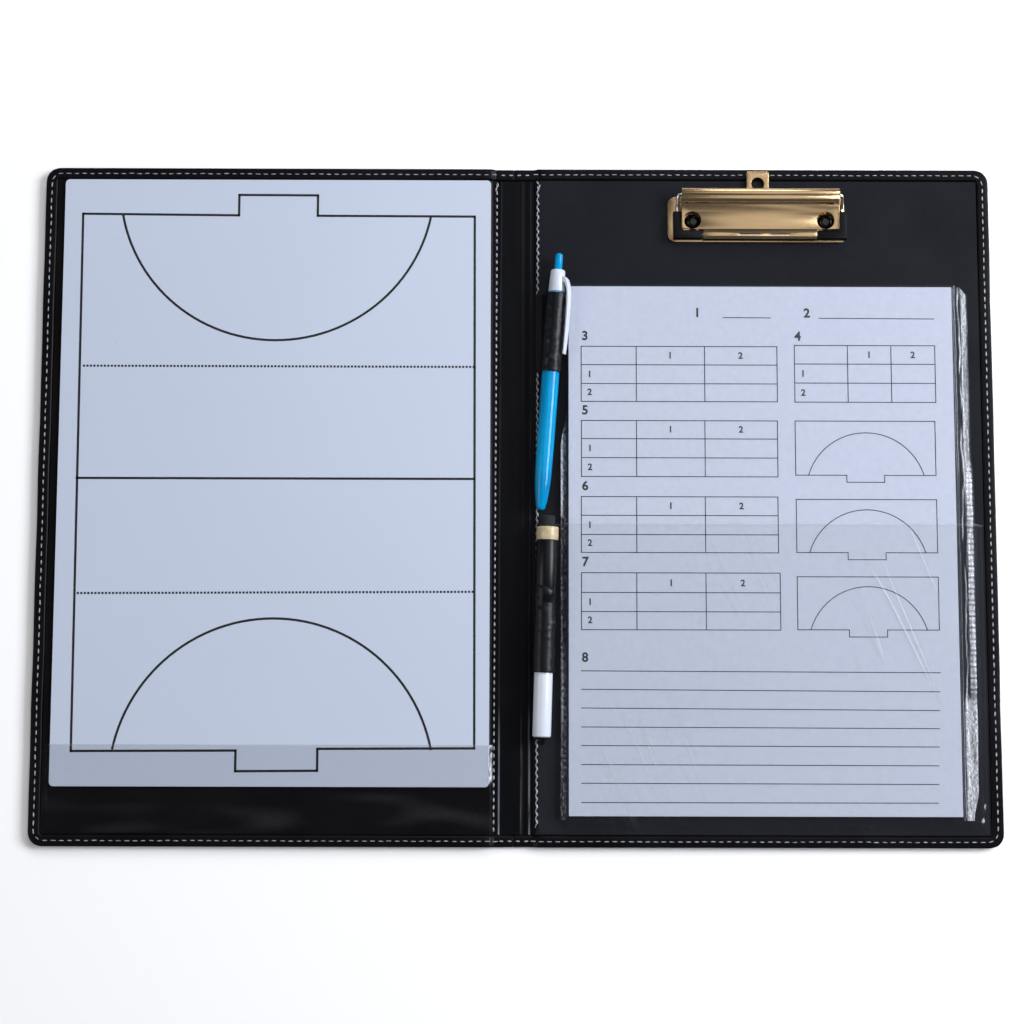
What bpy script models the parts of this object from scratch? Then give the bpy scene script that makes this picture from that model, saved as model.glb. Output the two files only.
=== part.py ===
"""A coach's tactics folder, lying open and flat.

Two covers of black imitation leather over grey board are joined by a soft spine. The left cover
carries an A4 wipe-clean board whose foot stands in a clear pocket. The right cover carries a low
spring clip with a slide-out hanger, a pad of score sheets in a poly bag behind a clear pocket,
and two pen loops beside the spine, with a push-button pen and a board marker.

X runs across the open folder and Y up the page, towards the clip. Z is up, and z = 0 is the
surface that the folder lies on. Lengths are in metres.
"""
import math

import bmesh
import bpy
import numpy as np
from mathutils import Matrix, Vector

MM = 0.001
GAP = 0.3 * MM

# Covers and spine
OPEN_WIDTH = 466 * MM
HEIGHT = 332 * MM
CORNER_RADIUS = 7 * MM
SKIN = 0.6 * MM
STIFFENER = 1.5 * MM
LINING = 0.5 * MM
RIM_WALL = 0.9 * MM
RIM_WIDTH = 5.2 * MM
RIM_ROUND = 1.4 * MM
LINING_MARGIN = 6.2 * MM
BACK_CREASE_X = 6.8 * MM
FRONT_CREASE_X = -9.6 * MM
CREASE_Z = 2.2 * MM
CREASE_PLAY = 0.15 * MM
BACK_GUTTER_END_X = 8.3 * MM
FRONT_GUTTER_END_X = -10.6 * MM
RAMP = 2.0 * MM

# Heights of the layers, from the surface up
STIFFENER_Z = SKIN + GAP
STIFFENER_TOP_Z = STIFFENER_Z + STIFFENER
GUTTER_LINING_Z = SKIN + GAP
GUTTER_TOP_Z = GUTTER_LINING_Z + LINING
LINING_Z = STIFFENER_TOP_Z + GAP
LINING_TOP_Z = LINING_Z + LINING
RIM_TOP_Z = LINING_Z + 0.7 * MM

# Wipe-clean board: A4
BOARD_SIZE = (210 * MM, 297 * MM)
BOARD_THICKNESS = 1.2 * MM
BOARD_CORNER = 2 * MM
BOARD_LEFT_X = -222.9 * MM
BOARD_TOP_Y = 159.6 * MM
BOARD_Z = LINING_TOP_Z + GAP

# Clear pockets
FILM = 0.3 * MM
POCKET_FOOT_Y = -159.3 * MM
FRONT_POCKET_TOP_Y = -117.4 * MM
BACK_POCKET_TOP_Y = -10.8 * MM
BACK_POCKET_RIGHT_X = 225.8 * MM

# Score pad in its bag
PAD_X = (25.2 * MM, 212.4 * MM)
PAD_Y = (-150.8 * MM, 105.6 * MM)
PAD_CARD = 0.6 * MM
PAD_SHEETS = 3.4 * MM
BAG_WALL = 0.25 * MM
BAG_Z = LINING_TOP_Z + GAP
CARD_Z = BAG_Z + BAG_WALL + GAP
SHEETS_Z = CARD_Z + PAD_CARD + GAP
BAG_TOP_Z = SHEETS_Z + PAD_SHEETS + GAP + BAG_WALL

# Ballpoint pen, measured along its own axis from the nose
PEN_NOSE = (11.64 * MM, -4.5 * MM, 8.8 * MM)
PEN_LEAN = math.radians(4.09)
PEN_RADIUS = 4.25 * MM
PEN_BARREL_LENGTH = 108 * MM
PEN_LENGTH = 127.3 * MM
PEN_LOOP_SPAN = (69.3 * MM, 107.6 * MM)
PEN_CLIP_TURN = math.radians(30)

# Board marker, measured along its own axis from the end of its barrel
MARKER_FOOT = (12.13 * MM, -113.6 * MM, 9.65 * MM)
MARKER_LEAN = math.radians(1.63)
MARKER_RADIUS = 4.45 * MM
MARKER_CAP_RADIUS = 5.3 * MM
MARKER_CAP_RIM = 63.5 * MM
MARKER_RING_SPAN = (94.3 * MM, 100.6 * MM)
MARKER_LENGTH = 106.1 * MM
MARKER_LOOP_SPAN = (30.6 * MM, 72.6 * MM)
LOOP_STRAP = 0.45 * MM
LOOP_SEAM_X = 10.9 * MM

# Clip: places across are measured from its middle, CLIP_X
CLIP_X = 119.3 * MM
CLIP_SHEET = 0.8 * MM
BASE_HALF_WIDTH = 45.1 * MM
BASE_Y = (129.0 * MM, 151.7 * MM)
BASE_Z = LINING_TOP_Z + GAP
BASE_TOP_Z = BASE_Z + CLIP_SHEET
PIVOT_Y = 149.2 * MM
PIVOT_Z = 8.3 * MM
PIN_RADIUS = 1.0 * MM
PIN_HOLE_RADIUS = 1.15 * MM
FLAP_HALF_WIDTH = 38.7 * MM
JAW_HALF_WIDTH = 27.9 * MM
CHEEK_X = 37.2 * MM
BASE_EAR_X = 35.6 * MM
RIVET_X = 32.7 * MM
RIVET_Y = 139.1 * MM
ACCESS_HOLE_RADIUS = 4.3 * MM
FRAME_WIRE_RADIUS = 0.9 * MM
FRAME_X = 40.3 * MM
FRAME_Y = 131.9 * MM
FRAME_Z = 6.6 * MM
HANGER_X = 118.7 * MM
HANGER_Z = BASE_TOP_Z + GAP
HANGER_HOLE_Y = 158.2 * MM
HANGER_HOLE_RADIUS = 3.15 * MM

PARTS = None
CUTTERS = None


def clear_scene():
    """Empty the scene and make the two collections that the model uses."""
    global PARTS, CUTTERS
    for item in list(bpy.data.objects):
        bpy.data.objects.remove(item, do_unlink=True)
    PARTS = bpy.data.collections.new("tactics_folder")
    CUTTERS = bpy.data.collections.new("cutters")
    for group in (PARTS, CUTTERS):
        bpy.context.scene.collection.children.link(group)


def linear(channel):
    """One sRGB channel, 0 to 1, as linear light."""
    return channel / 12.92 if channel <= 0.04045 else ((channel + 0.055) / 1.055) ** 2.4


def material(name, colour, roughness, metallic=0.0, alpha=1.0):
    """A plain material from an sRGB hex colour."""
    made = bpy.data.materials.get(name)
    if made:
        return made
    made = bpy.data.materials.new(name)
    made.use_nodes = True
    shader = made.node_tree.nodes["Principled BSDF"]
    rgb = [linear(int(colour[i:i + 2], 16) / 255) for i in (0, 2, 4)]
    shader.inputs["Base Color"].default_value = (*rgb, 1)
    shader.inputs["Roughness"].default_value = roughness
    shader.inputs["Metallic"].default_value = metallic
    shader.inputs["Alpha"].default_value = alpha
    return made


def leatherette():
    return material("black_leatherette", "17181B", 0.55)


def grey_board():
    return material("grey_board", "8C8579", 0.9)


def clear_film():
    return material("clear_pvc_film", "D8DCE2", 0.15, alpha=0.3)


def gold_steel():
    return material("gold_plated_steel", "B89B73", 0.3, 1.0)


def bright_steel():
    return material("bright_steel", "C9CCD0", 0.2, 1.0)


def black_rubber():
    return material("black_rubber", "121214", 0.7)


def white_plastic():
    return material("white_plastic", "E9EDF4", 0.3)


def black_plastic():
    return material("black_plastic", "15161A", 0.3)


def blue_plastic():
    return material("blue_plastic", "109CDC", 0.25)


def link(name, mesh, finish, group=None):
    """An object for a mesh, in the parts or in the cutters."""
    item = bpy.data.objects.new(name, mesh)
    (group or PARTS).objects.link(item)
    if finish:
        mesh.materials.append(finish)
    return item


def as_cutter(item):
    """Move an object to the cutters, drawn as wire and left out of renders."""
    for group in list(item.users_collection):
        group.objects.unlink(item)
    CUTTERS.objects.link(item)
    item.hide_render = True
    item.display_type = "WIRE"
    return item


def boolean(item, other, operation="DIFFERENCE"):
    """Cut an object with another one, or join the other one to it."""
    modifier = item.modifiers.new(operation.lower(), "BOOLEAN")
    modifier.operation = operation
    modifier.solver = "EXACT"
    modifier.object = as_cutter(other)
    return item


def smooth(item, angle=35):
    """Smooth shading, apart from edges sharper than an angle in degrees."""
    item.data.shade_smooth()
    item.data.set_sharp_from_angle(angle=math.radians(angle))
    return item


def block(name, x, y, z, finish, corner=0.0, segments=5):
    """A box between limits on each axis, with its four upright edges rounded by corner."""
    mesh = bpy.data.meshes.new(name)
    form = bmesh.new()
    bmesh.ops.create_cube(form, size=1.0)
    size = Vector((x[1] - x[0], y[1] - y[0], z[1] - z[0]))
    middle = Vector(((x[0] + x[1]) / 2, (y[0] + y[1]) / 2, (z[0] + z[1]) / 2))
    bmesh.ops.scale(form, vec=size, verts=form.verts)
    bmesh.ops.translate(form, vec=middle, verts=form.verts)
    if corner:
        upright = [e for e in form.edges if abs(e.verts[0].co.z - e.verts[1].co.z) > size.z / 2]
        bmesh.ops.bevel(form, geom=upright, offset=corner, segments=segments, profile=0.5,
                        affect="EDGES")
    form.to_mesh(mesh)
    form.free()
    return link(name, mesh, finish)


def cylinder(name, middle, radius, length, axis, finish=None, steps=24):
    """A cylinder along X, Y or Z, centred on a point."""
    turn = {"X": Matrix.Rotation(math.pi / 2, 4, "Y"), "Y": Matrix.Rotation(math.pi / 2, 4, "X"),
            "Z": Matrix.Identity(4)}[axis]
    mesh = bpy.data.meshes.new(name)
    form = bmesh.new()
    bmesh.ops.create_cone(form, cap_ends=True, segments=steps, radius1=radius, radius2=radius,
                          depth=length, matrix=Matrix.Translation(middle) @ turn)
    form.to_mesh(mesh)
    form.free()
    return link(name, mesh, finish)


def turned(name, profile, finish, parent=None, steps=24):
    """A body of revolution about Z. The profile runs down the outer side as (radius, height)."""
    mesh = bpy.data.meshes.new(name)
    points = [(radius, 0, height) for radius, height in profile]
    closed = profile[0][0] > 0 or profile[-1][0] > 0
    edges = [(i, i + 1) for i in range(len(points) - 1)]
    if closed:
        edges.append((len(points) - 1, 0))
    mesh.from_pydata(points, edges, [])
    item = link(name, mesh, finish)
    screw = item.modifiers.new("turn", "SCREW")
    screw.steps = screw.render_steps = steps
    screw.use_merge_vertices = True
    screw.merge_threshold = 0.00001
    screw.use_smooth_shade = True
    item.parent = parent
    return item


def strip(name, section, y, thickness, finish):
    """A sheet that follows a section of (x, z) points and runs between two values of y."""
    mesh = bpy.data.meshes.new(name)
    form = bmesh.new()
    row = [form.verts.new((px, y[0], pz)) for px, pz in section]
    edges = [form.edges.new(pair) for pair in zip(row, row[1:])]
    made = bmesh.ops.extrude_edge_only(form, edges=edges)["geom"]
    moved = [v for v in made if isinstance(v, bmesh.types.BMVert)]
    bmesh.ops.translate(form, vec=(0, y[1] - y[0], 0), verts=moved)
    bmesh.ops.recalc_face_normals(form, faces=form.faces)
    form.to_mesh(mesh)
    form.free()
    item = link(name, mesh, finish)
    thicken(item, thickness)
    return item


def thicken(item, thickness, offset=0.0):
    """Give an open surface its thickness, by default half to each side."""
    wall = item.modifiers.new("thickness", "SOLIDIFY")
    wall.thickness = thickness
    wall.offset = offset
    wall.use_even_offset = True
    return item


def wire(name, points, radius, finish, resolution=2):
    """A round wire through points, as a mesh with closed ends."""
    curve = bpy.data.curves.new(name, "CURVE")
    curve.dimensions = "3D"
    curve.bevel_depth = radius
    curve.bevel_resolution = resolution
    curve.use_fill_caps = True
    spline = curve.splines.new("POLY")
    spline.points.add(len(points) - 1)
    for place, point in zip(spline.points, points):
        place.co = (*point, 1)
    drawn = bpy.data.objects.new(name + "_curve", curve)
    bpy.context.scene.collection.objects.link(drawn)
    graph = bpy.context.evaluated_depsgraph_get()
    mesh = bpy.data.meshes.new_from_object(drawn.evaluated_get(graph))
    bpy.data.objects.remove(drawn, do_unlink=True)
    form = bmesh.new()
    form.from_mesh(mesh)
    bmesh.ops.remove_doubles(form, verts=form.verts, dist=0.000001)
    form.to_mesh(mesh)
    form.free()
    mesh.name = name
    mesh.materials.clear()
    return link(name, mesh, finish)


def pivot(name, place, turn=(0, 0, 0)):
    """An empty that marks a joint's axis and carries what moves with it."""
    marker = bpy.data.objects.new(name, None)
    marker.location = place
    marker.rotation_euler = turn
    marker.empty_display_size = 0.01
    PARTS.objects.link(marker)
    return marker


def hang_on(axis, *items):
    """Parent objects to a joint's empty without moving them."""
    bpy.context.view_layer.update()
    for item in items:
        item.parent = axis
        item.matrix_parent_inverse = axis.matrix_world.inverted()


def mirrored(points):
    """A run of (x, ...) points carried on over x = 0 to its mirror image."""
    return points + [(-p[0], *p[1:]) for p in reversed(points)]


# Covers and spine

def outer_skin(name, side, crease_x, rim_start_x):
    """A cover's outer skin: it lies flat below, wraps the edge and is turned in over the top."""
    edge_x = side * OPEN_WIDTH / 2
    half = HEIGHT / 2
    inner_x = crease_x + side * CREASE_PLAY
    beyond = crease_x - side * 40 * MM

    def across(near, far):
        return tuple(sorted((near, far)))

    skin = block(name, across(beyond, edge_x), (-half, half), (0, RIM_TOP_Z), leatherette(),
                 CORNER_RADIUS)
    round_over = skin.modifiers.new("rounded_rim", "BEVEL")
    round_over.width = RIM_ROUND
    round_over.segments = 3
    round_over.limit_method = "ANGLE"
    round_over.angle_limit = math.radians(60)
    hollow = block(name + "_hollow", across(beyond - side * MM, edge_x - side * RIM_WALL),
                   (-half + RIM_WALL, half - RIM_WALL), (SKIN, LINING_Z), None,
                   CORNER_RADIUS - RIM_WALL)
    window = block(name + "_window", across(beyond - side * MM, edge_x - side * RIM_WIDTH),
                   (-half + RIM_WIDTH, half - RIM_WIDTH), (LINING_Z - MM, RIM_TOP_Z + MM), None,
                   2 * MM)
    soft_end = block(name + "_soft_end", across(beyond - side * MM, rim_start_x),
                     (-half - MM, half + MM), (GUTTER_TOP_Z + 0.8 * MM, RIM_TOP_Z + MM), None)
    trim = block(name + "_trim", across(beyond - side * MM, inner_x), (-half - MM, half + MM),
                 (-MM, RIM_TOP_Z + MM), None)
    for tool in (hollow, window, soft_end, trim):
        boolean(skin, tool)
    return skin


def stiffener(name, side, inner_x):
    """The grey board inside a cover."""
    edge = OPEN_WIDTH / 2 - RIM_WALL - GAP
    half = HEIGHT / 2 - RIM_WALL - GAP
    x = tuple(sorted((inner_x, side * edge)))
    return block(name, x, (-half, half), (STIFFENER_Z, STIFFENER_TOP_Z), grey_board(),
                 CORNER_RADIUS - RIM_WALL - GAP)


def lining(name, side, crease_x, gutter_end_x):
    """The inner skin: low over the gutter beside the spine, then up and over the grey board."""
    low = GUTTER_LINING_Z + LINING / 2
    high = LINING_Z + LINING / 2
    start = crease_x + side * CREASE_PLAY
    end = side * (OPEN_WIDTH / 2 - LINING_MARGIN)
    section = [(start, low), (gutter_end_x, low), (gutter_end_x + side * RAMP, high), (end, high)]
    half = HEIGHT / 2 - LINING_MARGIN
    return strip(name, section, (-half, half), LINING, leatherette())


def rivet_holes(item, radius, low, high):
    """The two holes for the clip's rivets."""
    for side in (-1, 1):
        middle = (CLIP_X + side * RIVET_X, RIVET_Y, (low + high) / 2)
        boolean(item, cylinder(item.name + "_hole", middle, radius, high - low, "Z"))


def spine():
    """The soft spine: an outer and an inner skin with low turned edges, between the creases."""
    x = (FRONT_CREASE_X + CREASE_PLAY, BACK_CREASE_X - CREASE_PLAY)
    half = HEIGHT / 2
    skin = block("spine_outer_skin", x, (-half, half), (0, GUTTER_TOP_Z), leatherette())
    boolean(skin, block("spine_hollow", (x[0] - MM, x[1] + MM),
                        (-half + RIM_WALL, half - RIM_WALL), (SKIN, GUTTER_TOP_Z + MM), None))
    inner = block("spine_lining", x, (-half + RIM_WALL + GAP, half - RIM_WALL - GAP),
                  (GUTTER_LINING_Z, GUTTER_TOP_Z), leatherette())
    return skin, inner


def front_cover():
    """The left cover, with its board and its clear pocket."""
    skin = outer_skin("front_outer_skin", -1, FRONT_CREASE_X, FRONT_GUTTER_END_X - RAMP)
    inner = lining("front_lining", -1, FRONT_CREASE_X, FRONT_GUTTER_END_X)
    board = stiffener("front_stiffener", -1, FRONT_GUTTER_END_X - RAMP - 2 * GAP)
    film = pocket_film("front_pocket_film", front_pocket_section(), FRONT_POCKET_TOP_Y,
                       BOARD_TOP_Y - BOARD_SIZE[1] - 0.9 * MM, 2.2 * MM)
    return skin, inner, board, film


def back_cover():
    """The right cover, with its clear pocket."""
    skin = outer_skin("back_outer_skin", 1, BACK_CREASE_X, BACK_GUTTER_END_X + RAMP)
    inner = lining("back_lining", 1, BACK_CREASE_X, BACK_GUTTER_END_X)
    rivet_holes(inner, 2.2 * MM, 0, 6 * MM)
    board = stiffener("back_stiffener", 1, BACK_GUTTER_END_X + RAMP + 2 * GAP)
    rivet_holes(board, 2.2 * MM, 0, 6 * MM)
    rivet_holes(board, 4.0 * MM, 0, STIFFENER_Z + 0.9 * MM)
    film = pocket_film("back_pocket_film", back_pocket_section(), BACK_POCKET_TOP_Y,
                       PAD_Y[0] - 3.2 * MM, 3 * MM)
    loop_notch(film)
    return skin, inner, board, film


def pocket_film(name, section, top_y, pocket_end_y, fall):
    """A clear sheet, sewn down at its foot and sides and standing over what it holds.

    The section lists (x, height at the sewn foot, height over the contents).
    """
    rows = [(POCKET_FOOT_Y, 0.0), (pocket_end_y - fall, 0.0), (pocket_end_y, 1.0)]
    rows += [(pocket_end_y + (top_y - pocket_end_y) * step / 3, 1.0) for step in (1, 2, 3)]
    mesh = bpy.data.meshes.new(name)
    form = bmesh.new()
    lines = []
    for y, full in rows:
        lines.append([form.verts.new((x, y, low + (high - low) * full + FILM / 2))
                      for x, low, high in section])
    for line, following in zip(lines, lines[1:]):
        for a, b, c, d in zip(line, line[1:], following[1:], following):
            form.faces.new((a, b, c, d))
    form.to_mesh(mesh)
    form.free()
    return thicken(link(name, mesh, clear_film()), FILM)


def front_pocket_section():
    """The clear pocket of the left cover, over the foot of the board."""
    flat = BOARD_Z
    full = BOARD_Z + BOARD_THICKNESS + GAP
    left = BOARD_LEFT_X
    right = BOARD_LEFT_X + BOARD_SIZE[0]
    outer = -(OPEN_WIDTH / 2 - LINING_MARGIN - 0.4 * MM)
    return [(outer, flat, flat), (left - 1.6 * MM, flat, flat), (left - 0.6 * MM, flat, full),
            (left * 0.5, flat, full), (right + 0.5 * MM, flat, full),
            (right + 1.3 * MM, flat, flat + 0.1 * MM),
            (right + 1.8 * MM, flat - 0.3 * MM, flat - 0.3 * MM)]


def back_pocket_section():
    """The clear pocket of the right cover: flat under the pens, then up and over the pad."""
    flat = LINING_TOP_Z + GAP
    full = BAG_TOP_Z + GAP
    return [(10.9 * MM, flat, flat), (20.2 * MM, flat, flat),
            (20.5 * MM, flat, flat + 1.0 * MM), (20.7 * MM, flat, full - 1.6 * MM),
            (21.5 * MM, flat, full - 0.5 * MM), (24.3 * MM, flat, full),
            (100 * MM, flat, full), (PAD_X[1] + 0.6 * MM, flat, full),
            (221.9 * MM, flat, full - 2.6 * MM), (224.2 * MM, flat, flat),
            (BACK_POCKET_RIGHT_X, flat, flat)]


def loop_notch(film):
    """Cut the clear sheet away where the lower pen loop stands in the gutter."""
    low, high = (MARKER_FOOT[1] + span * math.cos(MARKER_LEAN) for span in MARKER_LOOP_SPAN)
    boolean(film, block("loop_notch", (9 * MM, 20.45 * MM), (low - MM, high + MM),
                        (0, 16 * MM), None))


def board():
    """The wipe-clean board, an A4 sheet with small round corners."""
    return block("whiteboard", (BOARD_LEFT_X, BOARD_LEFT_X + BOARD_SIZE[0]),
                 (BOARD_TOP_Y - BOARD_SIZE[1], BOARD_TOP_Y), (BOARD_Z, BOARD_Z + BOARD_THICKNESS),
                 material("whiteboard_laminate", "C6D0E2", 0.25), BOARD_CORNER)


# Score pad

def score_pad():
    """A pad of printed sheets on a backing card, in a poly bag that is open at the top."""
    sheets = block("score_sheets", PAD_X, PAD_Y, (SHEETS_Z, SHEETS_Z + PAD_SHEETS),
                   material("paper", "D5D9E6", 0.8))
    card = block("pad_backing_card", PAD_X, PAD_Y, (CARD_Z, CARD_Z + PAD_CARD), grey_board())
    return sheets, card, poly_bag()


def poly_bag():
    """A flat bag round the pad: a bulging section that changes down its length."""
    middle_z = (BAG_Z + BAG_TOP_Z) / 2
    near_left = PAD_X[0] - GAP - BAG_WALL
    flap_left = 21.3 * MM
    rows = [(PAD_Y[1] + MM, near_left, 221.2 * MM), (46 * MM, near_left, 220.9 * MM),
            (26 * MM, flap_left, 220.7 * MM), (PAD_Y[0] - GAP - BAG_WALL, flap_left, 219.6 * MM),
            (PAD_Y[0] - 2 * MM, flap_left, 219.6 * MM)]
    mesh = bpy.data.meshes.new("poly_bag")
    form = bmesh.new()
    rings = []
    for y, left, right in rows:
        shut = 0.35 if y < PAD_Y[0] - MM else 1.0
        low = middle_z + (BAG_Z - middle_z) * shut
        high = middle_z + (BAG_TOP_Z - middle_z) * shut
        ring = [(left, low + 1.2 * MM * shut), (near_left, low), (PAD_X[1] + GAP + BAG_WALL, low),
                (right, middle_z - 0.8 * MM * shut), (right, middle_z + 0.4 * MM * shut),
                (PAD_X[1] + GAP + BAG_WALL, high), (near_left, high), (left, high - 1.2 * MM * shut)]
        if left == near_left:
            ring[0] = (left, low + 0.5 * MM)
            ring[1] = (left + 0.5 * MM, low)
            ring[6] = (left + 0.5 * MM, high)
            ring[7] = (left, high - 0.5 * MM)
        rings.append([form.verts.new((x, y, z)) for x, z in ring])
    for ring, following in zip(rings, rings[1:]):
        count = len(ring)
        for i in range(count):
            form.faces.new((ring[i], ring[(i + 1) % count], following[(i + 1) % count],
                            following[i]))
    form.faces.new(rings[-1])
    bmesh.ops.recalc_face_normals(form, faces=form.faces)
    form.to_mesh(mesh)
    form.free()
    bag = link("poly_bag", mesh, material("poly_bag_film", "E4E8EE", 0.2, alpha=0.3))
    return thicken(bag, BAG_WALL, -1.0)


# Pens and their loops

def loop_section(foot, lean, radius, along):
    """A strap's path round a pen at one distance along it, as (x, z) from the pen's axis."""
    middle = radius + GAP + LOOP_STRAP / 2
    seam = LOOP_SEAM_X - foot[0] - along * math.sin(lean)
    under = min(seam + 1.2 * MM, -middle + 3.4 * MM)
    low = LINING_TOP_Z + GAP + LOOP_STRAP / 2 - foot[2]
    high = low + LOOP_STRAP + GAP
    ends = []
    for height, turn in ((low, 1), (high, -1)):
        away = math.hypot(under, height)
        ends.append(math.atan2(height, under) + turn * math.acos(min(1, middle / away)))
    first, last = ends[0], ends[1] + 2 * math.pi
    arc = [first + (last - first) * i / 18 for i in range(19)]
    path = [(seam, low), (under, low)] if seam < under - 0.5 * MM else [(under, low)]
    path += [(middle * math.cos(a), middle * math.sin(a)) for a in arc]
    return path + ([(under, high), (seam, high)] if seam < under - 0.5 * MM else [(under, high)])


def upper_loop(name, foot, lean, radius, span):
    """A strap that leaves the seam beside the spine, goes round a pen and comes back to it."""
    mesh = bpy.data.meshes.new(name)
    form = bmesh.new()
    rows = [[form.verts.new((x, -z, along)) for x, z in loop_section(foot, lean, radius, along)]
            for along in span]
    for a, b, c, d in zip(rows[0], rows[0][1:], rows[1][1:], rows[1]):
        form.faces.new((a, b, c, d))
    bmesh.ops.recalc_face_normals(form, faces=form.faces)
    form.to_mesh(mesh)
    form.free()
    return place_loop(link(name, mesh, leatherette()), foot, lean)


def lower_loop(name, foot, lean, radius, span):
    """A strap closed round a thicker pen, with both of its ends sewn down under it."""
    middle = radius + GAP + LOOP_STRAP / 2
    path = [(middle * math.cos(math.radians(a)), middle * math.sin(math.radians(a)))
            for a in range(-80, 263, 18)]
    mesh = bpy.data.meshes.new(name)
    form = bmesh.new()
    row = [form.verts.new((x, -z, span[0])) for x, z in path]
    edges = [form.edges.new(pair) for pair in zip(row, row[1:])]
    made = bmesh.ops.extrude_edge_only(form, edges=edges)["geom"]
    moved = [v for v in made if isinstance(v, bmesh.types.BMVert)]
    bmesh.ops.translate(form, vec=(0, 0, span[1] - span[0]), verts=moved)
    bmesh.ops.recalc_face_normals(form, faces=form.faces)
    form.to_mesh(mesh)
    form.free()
    return place_loop(link(name, mesh, leatherette()), foot, lean)


def place_loop(strap, foot, lean):
    """Give a strap its thickness and stand it on its pen's axis."""
    thicken(strap, LOOP_STRAP)
    strap.location = foot
    strap.rotation_euler = (-math.pi / 2, 0, -lean)
    return strap


def ballpoint_pen():
    """A push-button pen: barrel, collar with a pocket clip, button, refill and spring."""
    axis = pivot("pen_axis", PEN_NOSE, (-math.pi / 2, 0, -PEN_LEAN))
    r = PEN_RADIUS
    top = PEN_BARREL_LENGTH
    barrel = turned("pen_barrel", [
        (3.5 * MM, top), (r - 0.15 * MM, top), (r, top - 2 * MM), (r, 55 * MM), (r - 0.1 * MM, 30 * MM),
        (3.92 * MM, 15 * MM), (3.45 * MM, 9 * MM), (2.85 * MM, 4.2 * MM), (2.2 * MM, 1.2 * MM),
        (1.7 * MM, 0), (1.35 * MM, 0), (1.35 * MM, 9 * MM), (2.6 * MM, 9.6 * MM),
        (2.6 * MM, 101.4 * MM), (3.5 * MM, 101.4 * MM)], blue_plastic(), axis)
    collar = turned("pen_collar", [
        (2.15 * MM, 119 * MM), (3.2 * MM, 119 * MM), (3.55 * MM, 118.4 * MM), (4.03 * MM, top + GAP),
        (3.2 * MM, top + GAP), (3.2 * MM, 101.8 * MM), (2.7 * MM, 101.8 * MM), (2.7 * MM, 117.6 * MM),
        (2.15 * MM, 117.6 * MM)], white_plastic(), axis)
    boolean(collar, pocket_clip(axis), "UNION")
    button = turned("pen_button", [
        (0, PEN_LENGTH), (1.1 * MM, PEN_LENGTH), (1.7 * MM, PEN_LENGTH - 0.5 * MM),
        (1.9 * MM, PEN_LENGTH - 1.4 * MM), (1.9 * MM, 117 * MM), (2.4 * MM, 117 * MM),
        (2.4 * MM, 112.6 * MM), (0, 112.6 * MM)], blue_plastic(), axis)
    refill = turned("pen_refill", [
        (0, 112.3 * MM), (1.5 * MM, 112.3 * MM), (1.5 * MM, 23.6 * MM), (2.2 * MM, 23.4 * MM),
        (2.2 * MM, 22.6 * MM), (1.2 * MM, 22.4 * MM), (1.05 * MM, 6 * MM), (0.95 * MM, 4.2 * MM),
        (0.4 * MM, 1.6 * MM), (0, 1.5 * MM)], material("refill_brass", "A8833D", 0.35, 1.0), axis, 16)
    spring = coil("pen_spring", 1.9 * MM, 0.22 * MM, 10.2 * MM, 22.0 * MM, 7, 8, axis)
    return barrel, collar, button, refill, spring


def least_gap(points, wire_radius, turn):
    """Least free space, in millimetres, between a wire's points that lie most of a turn apart."""
    places = np.array(points)
    least = math.inf
    for i in range(len(places) - turn + 2):
        away = np.linalg.norm(places[i + turn - 2:] - places[i], axis=1)
        least = min(least, float(away.min()))
    return round((least - 2 * wire_radius) / MM, 2)


def coil(name, radius, wire_radius, low, high, turns, steps, axis):
    """A compression spring about the axis of a pen."""
    count = turns * steps
    points = []
    for i in range(count + 1):
        angle = 2 * math.pi * i / steps
        points.append((radius * math.cos(angle), radius * math.sin(angle),
                       low + (high - low) * i / count))
    spring = wire(name, points, wire_radius, bright_steel(), 1)
    spring.parent = axis
    print(name, "least gap between turns, mm:", least_gap(points, wire_radius, steps))
    return spring


def pocket_clip(axis):
    """The pen's pocket clip: it rises from the collar and comes back towards the barrel."""
    outer = [(3.2, 115.6), (4.8, 115.4), (6.0, 113.9), (6.9, 111.2), (7.6, 106), (7.8, 100),
             (7.7, 92), (7.5, 84), (7.3, 79), (7.1, 76.2)]
    inner = [(6.2, 76.0), (6.3, 79), (6.55, 85), (6.65, 92), (6.7, 100), (6.4, 106), (5.7, 110.6),
             (4.9, 112.6), (3.2, 112.4)]
    section = [(x * MM, z * MM) for x, z in outer + inner]
    half = 1.7 * MM
    mesh = bpy.data.meshes.new("pocket_clip")
    form = bmesh.new()
    face = form.faces.new([form.verts.new((x, -half, z)) for x, z in section])
    made = bmesh.ops.extrude_face_region(form, geom=[face])["geom"]
    moved = [v for v in made if isinstance(v, bmesh.types.BMVert)]
    bmesh.ops.translate(form, vec=(0, 2 * half, 0), verts=moved)
    bmesh.ops.recalc_face_normals(form, faces=form.faces)
    form.to_mesh(mesh)
    form.free()
    clip = link("pocket_clip", mesh, white_plastic())
    clip.parent = axis
    clip.rotation_euler = (0, 0, -PEN_CLIP_TURN)
    return clip


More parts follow.
